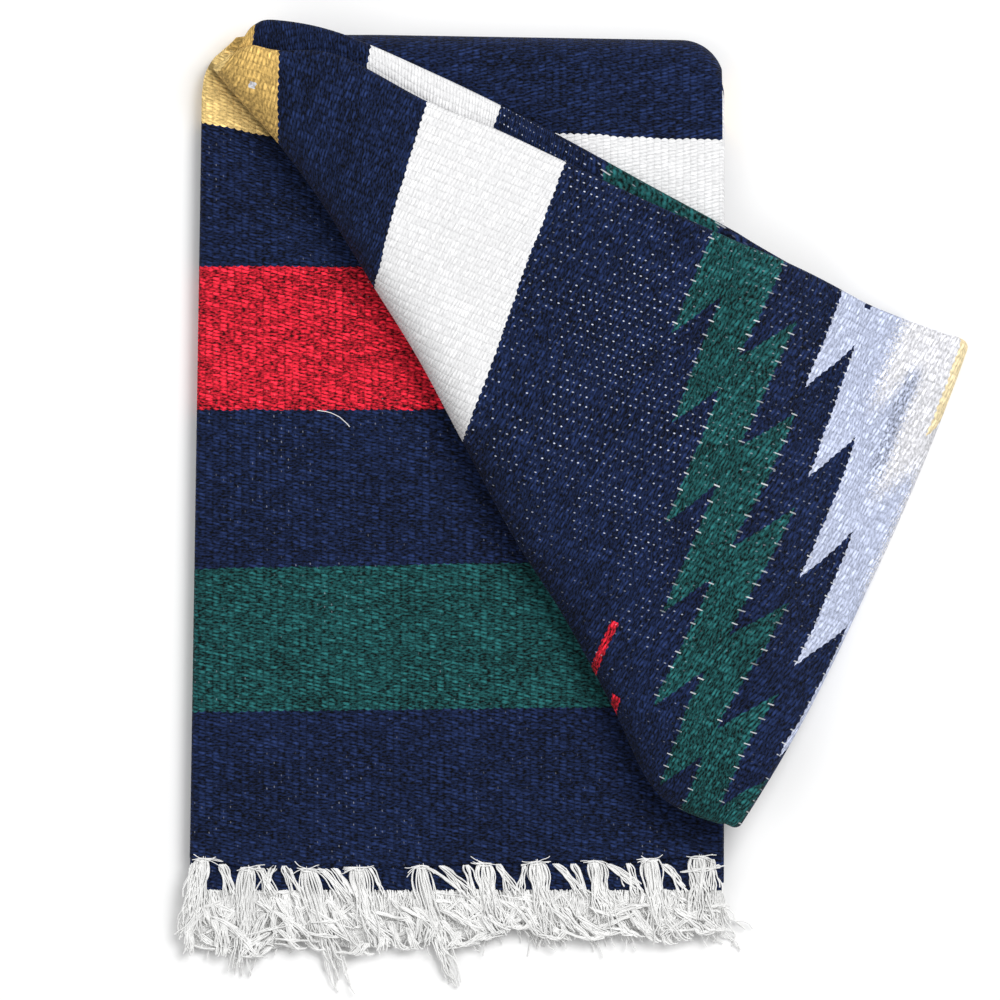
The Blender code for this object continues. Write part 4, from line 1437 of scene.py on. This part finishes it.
def mat_fringe(name, node, layer, step, shift, rest, length, settings, yarn, seed):
    """The fringe of a lower hem, which lies as a loose mat under the tassels."""
    variation = random.Random(seed)
    guides = []
    x = LEFT_NEAR + 0.004
    while x < RIGHT - 0.003:
        own = length * variation.uniform(0.7, 1.08)
        sway = variation.uniform(-0.012, 0.022) + shift
        guides.append(tassel_guide(x, own, sway, layer, step, rest))
        x += variation.uniform(0.0035, 0.0070)
    piece = spin(name, guides, yarn, "mat", settings.mat_threads, settings.thread_radius, seed)
    return dress(piece, "fringe_yarn", node)


def mat_height(y):
    """The height of the mat's upper side."""
    return fall_height(y, 0.0152, 0.0074)


def mat_felt(settings):
    """The matted yarn under the loose threads, with a ragged lower edge."""
    rows, weave = [], []
    for step in range(15):
        row, places = [], []
        for column in range(161):
            x = mix(LEFT_NEAR + 0.001, RIGHT - 0.003, column / 160)
            low = table_value(MAT_EDGE, x, 1) + 0.003 + 0.005 * ripple(x, 0.0, 260.0, 2.0)
            y = mix(MAT_TOP, low, step / 14)
            z = mat_height(y) - 0.0022 + 0.0022 * ripple(x, y, 150.0, 5.0)
            row.append((x, y, max(z, 0.0015)))
            places.append((x, y))
        rows.append(row)
        weave.append(places)
    piece = cloth_shell("fringe_felt", rows, weave, -1, felt_material(settings), 0.0012)
    return dress(piece, "fringe_yarn")


def tangle(name, count, seed, top, lift, settings, yarn):
    """Locks of thread that lie every way over the mat."""
    variation = random.Random(seed)
    guides = []
    for _ in range(count):
        x = variation.uniform(LEFT_NEAR - 0.002, RIGHT - 0.010)
        low = table_value(MAT_EDGE, x, 1)
        y = mix(top, low + 0.006, variation.random() ** 1.2)
        kind = variation.random()
        if kind < 0.6:
            heading = variation.uniform(-0.42, -0.14) * math.pi
        elif kind < 0.8:
            heading = variation.uniform(-0.85, -0.6) * math.pi
        else:
            heading = variation.uniform(-0.12, 0.12) * math.pi
        bend = variation.uniform(-0.9, 0.9)
        pace = variation.uniform(0.0018, 0.0030)
        line = []
        for step in range(11):
            line.append((x, y, mat_height(y) + lift + 0.0004 * math.sin(step + seed)))
            heading += bend / 10
            x = min(x + math.cos(heading) * pace, RIGHT + 0.001)
            y = min(y + math.sin(heading) * pace, top)
            y = max(y, table_value(MAT_EDGE, x, 1) + 0.0015)
        guides.append(line)
    piece = spin(
        name, guides, yarn, "tangle", 11, settings.thread_radius, settings.seed + seed
    )
    return dress(piece, "fringe_yarn")


def loose_yarn(settings, yarn):
    """Thin bundles that hang between the tassels."""
    pieces = []
    for index, (x, y, end_x, end_y, spread, threads) in enumerate(LOOSE_YARN):
        line = []
        for step in range(9):
            share = step / 8
            y_here = mix(y, end_y, share)
            sag = 0.0010 * math.sin(math.pi * share)
            height = fall_height(y_here, PANEL_HIGH - 0.0002, 0.0088) - sag
            line.append((mix(x, end_x, share**0.8), y_here, height))
        pieces.append(
            spin(
                f"loose_yarn_{index + 1}",
                [line],
                yarn,
                "loose",
                threads,
                settings.thread_radius,
                settings.seed + 60 + index,
                spread,
            )
        )
    return joined("loose_yarn", pieces)


def joined(name, pieces):
    """One object from several meshes."""
    builder = bmesh.new()
    for piece in pieces:
        builder.from_mesh(piece.data)
    mesh = bpy.data.meshes.new(name)
    builder.to_mesh(mesh)
    builder.free()
    mesh.materials.append(pieces[0].data.materials[0])
    mesh.shade_smooth()
    for piece in pieces:
        spare = piece.data
        bpy.data.objects.remove(piece)
        bpy.data.meshes.remove(spare)
    return dress(link(name, mesh), "fringe_yarn")


def knot_guides():
    """A loop of yarn and a few stray ends at the head of each tassel."""
    variation = random.Random(5)
    coils, strays = [], []
    height = PANEL_HIGH
    for x, length, sway in TASSELS:
        hem = -HALF_LENGTH + hem_offset(x)
        wide = variation.uniform(0.0034, 0.0044)
        coil = []
        for step in range(22):
            angle = 2 * math.pi * 1.6 * step / 21 + variation.uniform(-0.15, 0.15)
            coil.append(
                (
                    x + wide * math.cos(angle),
                    hem - 0.0012 + 0.0009 * math.sin(angle),
                    height + 0.0004 + 0.0003 * math.sin(angle * 0.7),
                )
            )
        coils.append(coil)
        for side in range(variation.randint(5, 8)):
            heading = variation.choice((0.0, math.pi)) + variation.uniform(-0.30, 0.30)
            reach = variation.uniform(0.007, 0.0135)
            bend = variation.uniform(-0.5, 0.5)
            line = []
            for step in range(7):
                share = step / 6
                turned = heading + bend * share
                px = x + math.cos(turned) * reach * share
                py = hem - 0.0004 + math.sin(turned) * reach * share
                line.append((px, py, height + 0.0010 + 0.0004 * math.sin(share * 3)))
            strays.append(line)
    ends = ((-0.0878, 0.0237), (-0.0803, 0.0225), (-0.0729, 0.0187), (-0.0679, 0.0131))
    strays.append([(x, y, PANEL_HIGH + 0.0009) for x, y in ends])
    return coils, strays


def hem_knots(settings, yarn):
    coils, strays = knot_guides()
    for name, guides, lie, threads, share, seed in (
        ("hem_knots", coils, "knot", 2, 1.0, 20),
        ("stray_ends", strays, "stray", 1, 0.62, 40),
    ):
        radius = settings.thread_radius * share
        dress(spin(name, guides, yarn, lie, threads, radius, settings.seed + seed), "fringe_yarn")


# Settings


class SerapeClothSettings(bpy.types.PropertyGroup):
    """Sizes and dyes of the woven cloth."""

    rib_pitch: bpy.props.FloatProperty(
        name="Rib Pitch", description="Distance between two warp ribs of the flat layers",
        default=0.0045, min=0.001, unit="LENGTH",
    )
    flap_rib_pitch: bpy.props.FloatProperty(
        name="Flap Rib Pitch",
        description="Distance between two warp ribs of the turned-back layers",
        default=0.0049, min=0.001, unit="LENGTH",
    )
    pick_pitch: bpy.props.FloatProperty(
        name="Pick Pitch", description="Distance between two picks of weft",
        default=0.0023, min=0.0005, unit="LENGTH",
    )
    speck_pitch: bpy.props.FloatProperty(
        name="Speck Pitch",
        description="Distance along a rib between two places where the warp can show",
        default=0.0045, min=0.001, unit="LENGTH",
    )
    front_specks: bpy.props.FloatProperty(
        name="Front Specks",
        description="Share of the places on the flat layers where the pale warp shows",
        default=0.20, min=0.0, max=1.0, subtype="FACTOR",
    )
    flap_specks: bpy.props.FloatProperty(
        name="Flap Specks",
        description="Share of the places on the turned-back layers where the pale warp shows",
        default=0.92, min=0.0, max=1.0, subtype="FACTOR",
    )
    navy: bpy.props.FloatVectorProperty(
        name="Navy", description="Dye of the ground", subtype="COLOR", default=linear(21, 32, 62)
    )
    green: bpy.props.FloatVectorProperty(
        name="Green", description="Dye of the green stripe and the outer diamonds",
        subtype="COLOR", default=linear(25, 71, 72),
    )
    red: bpy.props.FloatVectorProperty(
        name="Red", description="Dye of the red stripe",
        subtype="COLOR", default=linear(194, 32, 49),
    )
    yellow: bpy.props.FloatVectorProperty(
        name="Yellow", description="Dye of the yellow stripe",
        subtype="COLOR", default=linear(211, 174, 102),
    )
    # Painted light: a lighter copy of the yellow dye for the flat part of the stripe, standing in
    # for light where the flap's roll shades it
    light_yellow: bpy.props.FloatVectorProperty(
        name="Painted Lit Yellow", description="The yellow stripe where it stays flat",
        subtype="COLOR", default=linear(250, 216, 142),
    )
    white: bpy.props.FloatVectorProperty(
        name="White", description="Undyed wool", subtype="COLOR", default=linear(228, 228, 229)
    )
    off_white: bpy.props.FloatVectorProperty(
        name="Off White", description="Undyed wool of the inner diamonds",
        subtype="COLOR", default=linear(221, 221, 226),
    )
    pale_blue: bpy.props.FloatVectorProperty(
        name="Pale Blue", description="Dye of the inner diamonds",
        subtype="COLOR", default=linear(184, 192, 216),
    )
    cream: bpy.props.FloatVectorProperty(
        name="Cream", description="Dye of the innermost diamonds",
        subtype="COLOR", default=linear(236, 218, 176),
    )


class SerapeFringeSettings(bpy.types.PropertyGroup):
    """Sizes and colour of the fringe."""

    thread_radius: bpy.props.FloatProperty(
        name="Thread Radius", description="Half a thread's thickness",
        default=0.00045, min=0.0002, unit="LENGTH",
    )
    threads: bpy.props.IntProperty(
        name="Tassel Threads", description="Threads in one tassel of the top hem",
        default=40, min=4, max=80,
    )
    mat_threads: bpy.props.IntProperty(
        name="Mat Threads", description="Threads at each root of the lower hems",
        default=9, min=1, max=30,
    )
    seed: bpy.props.IntProperty(
        name="Seed", description="Seed of the loose threads", default=4, min=0
    )
    cotton: bpy.props.FloatVectorProperty(
        name="Cotton", description="Colour of the cotton warp",
        subtype="COLOR", default=linear(246, 246, 245),
    )


class SerapeStageSettings(bpy.types.PropertyGroup):
    """Floor, light and camera."""

    floor_colour: bpy.props.FloatVectorProperty(
        name="Floor", description="Colour of the floor", subtype="COLOR", default=(0.90, 0.90, 0.90)
    )
    light_power: bpy.props.FloatProperty(
        name="Light Power", description="Power of the large soft light",
        default=86.0, min=0.0, unit="POWER",
    )
    camera_distance: bpy.props.FloatProperty(
        name="Camera Distance", description="Height of the camera over the cloth",
        default=8.0, min=1.0, unit="LENGTH",
    )


class SERAPE_OT_lower_cloths(bpy.types.Operator):
    """Builds the lower half: its top layer and the pile of layers under it."""

    bl_idname = "serape.lower_cloths"
    bl_label = "Lower Cloths"

    def execute(self, context):
        settings = context.scene.serape_cloth
        lower_stack(settings)
        front = front_cloth(settings)
        return {"FINISHED"}


class SERAPE_OT_upper_cloths(bpy.types.Operator):
    """Builds the layers that stay in place behind the diagonal fold."""

    bl_idname = "serape.upper_cloths"
    bl_label = "Upper Cloths"

    def execute(self, context):
        settings = context.scene.serape_cloth
        upper_stack(settings)
        far = far_cloth(settings)
        return {"FINISHED"}


class SERAPE_OT_flap(bpy.types.Operator):
    """Builds the turned-back flap: its face, the layer under it and the layers between."""

    bl_idname = "serape.flap"
    bl_label = "Flap"

    def execute(self, context):
        settings = context.scene.serape_cloth
        face = flap_cloth(settings)
        under = under_flap_cloth(settings)
        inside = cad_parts["flap_layers"]
        inside.material_slots[0].material = weave_material(
            "inner_weave", settings, settings.front_specks, settings.rib_pitch, on_surface=False
        )
        return {"FINISHED"}


class SERAPE_OT_fringe(bpy.types.Operator):
    """Builds the three rows of fringe with the knots of the top one."""

    bl_idname = "serape.fringe"
    bl_label = "Fringe"

    def execute(self, context):
        settings = context.scene.serape_fringe
        yarn = yarn_material(settings)
        front_fringe(settings, yarn)
        for name, node, layer, step, shift, rest, length, seed in LOWER_FRINGES:
            mat_fringe(name, node, layer, step, shift, rest, length, settings, yarn, seed)
        mat_felt(settings)
        tangle("fringe_tangle", 105, 9, MAT_TOP, 0.0, settings, yarn)
        tangle("fringe_tangle_top", 80, 10, MAT_TOP - 0.0085, 0.0024, settings, yarn)
        loose_yarn(settings, yarn)
        hem_knots(settings, yarn)
        return {"FINISHED"}


class SERAPE_OT_stage(bpy.types.Operator):
    """Sets the floor, the light and the camera."""

    bl_idname = "serape.stage"
    bl_label = "Stage"

    def execute(self, context):
        scene = context.scene
        settings = scene.serape_stage
        scene.view_settings.view_transform = "Standard"
        build_floor(settings)
        build_lights(settings)
        build_camera(settings)
        return {"FINISHED"}


def build_floor(settings):
    """A pale floor that is seen from above only."""
    mesh = bpy.data.meshes.new("studio_floor")
    signs = ((-1, -1), (1, -1), (1, 1), (-1, 1))
    corners = [(x * FLOOR_SIZE, y * FLOOR_SIZE, FLOOR_Z) for x, y in signs]
    mesh.from_pydata(corners, [], [(0, 1, 2, 3)])
    material, tree, surface = new_material("studio_paper")
    low = tuple(part * 0.985 for part in settings.floor_colour) + (1.0,)
    share = noise_value(tree, object_place(tree), 3.0)
    colour = blend_colour(tree, share, low, (*settings.floor_colour, 1.0))
    feed(tree, surface["Base Color"], colour)
    surface["Roughness"].default_value = 0.9
    mesh.materials.append(material)
    link("studio_floor", mesh)


def build_lights(settings):
    for name, place, size, share in (
        ("key_light", (1.2, 1.05, 2.85), 1.7, 1.0),
        ("fill_light", (-1.8, -0.6, 2.6), 2.6, 0.27),
    ):
        lamp = bpy.data.lights.new(name, "AREA")
        lamp.size = size
        lamp.energy = settings.light_power * share
        light = link(name, lamp)
        light.location = place
        light.rotation_euler = (-Vector(place)).to_track_quat("-Z", "Y").to_euler()
    world = bpy.data.worlds.new("studio_air")
    world.use_nodes = True
    sky = world.node_tree.nodes["Background"].inputs
    sky["Color"].default_value = (1.0, 1.0, 1.0, 1.0)
    sky["Strength"].default_value = 0.45
    bpy.context.scene.world = world


def build_camera(settings):
    """A long lens straight above the blanket."""
    lens = bpy.data.cameras.new("camera")
    lens.sensor_width = 36.0
    lens.lens = lens.sensor_width * settings.camera_distance / VIEW_WIDTH
    lens.clip_end = 100.0
    camera = link("camera", lens)
    camera.location = (VIEW_X, VIEW_Y, VIEW_Z + settings.camera_distance)
    bpy.context.scene.camera = camera


class SERAPE_PT_panel(bpy.types.Panel):
    """Lists the serape's builders."""

    bl_label = "Serape"
    bl_idname = "SERAPE_PT_panel"
    bl_space_type = "VIEW_3D"
    bl_region_type = "UI"
    bl_category = "Serape"

    def draw(self, context):
        for key, kind in GROUPS:
            group = getattr(context.scene, key)
            for name in kind.bl_rna.properties.keys():
                if name not in ("rna_type", "name"):
                    self.layout.prop(group, name)
        for operator in OPERATORS:
            self.layout.operator(operator.bl_idname)


OPERATORS = (
    SERAPE_OT_lower_cloths,
    SERAPE_OT_upper_cloths,
    SERAPE_OT_flap,
    SERAPE_OT_fringe,
    SERAPE_OT_stage,
)
GROUPS = (
    ("serape_cloth", SerapeClothSettings),
    ("serape_fringe", SerapeFringeSettings),
    ("serape_stage", SerapeStageSettings),
)


def register():
    for name, group in GROUPS:
        bpy.utils.register_class(group)
        setattr(bpy.types.Scene, name, bpy.props.PointerProperty(type=group))
    for item in (*OPERATORS, SERAPE_PT_panel):
        bpy.utils.register_class(item)


def unregister():
    for item in (SERAPE_PT_panel, *reversed(OPERATORS)):
        bpy.utils.unregister_class(item)
    for name, group in reversed(GROUPS):
        delattr(bpy.types.Scene, name)
        bpy.utils.unregister_class(group)


def main():
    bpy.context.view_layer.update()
    register()
    bpy.ops.serape.lower_cloths()
    bpy.ops.serape.upper_cloths()
    bpy.ops.serape.flap()
    bpy.ops.serape.fringe()
    bpy.ops.serape.stage()


if __name__ == "__main__":
    main()
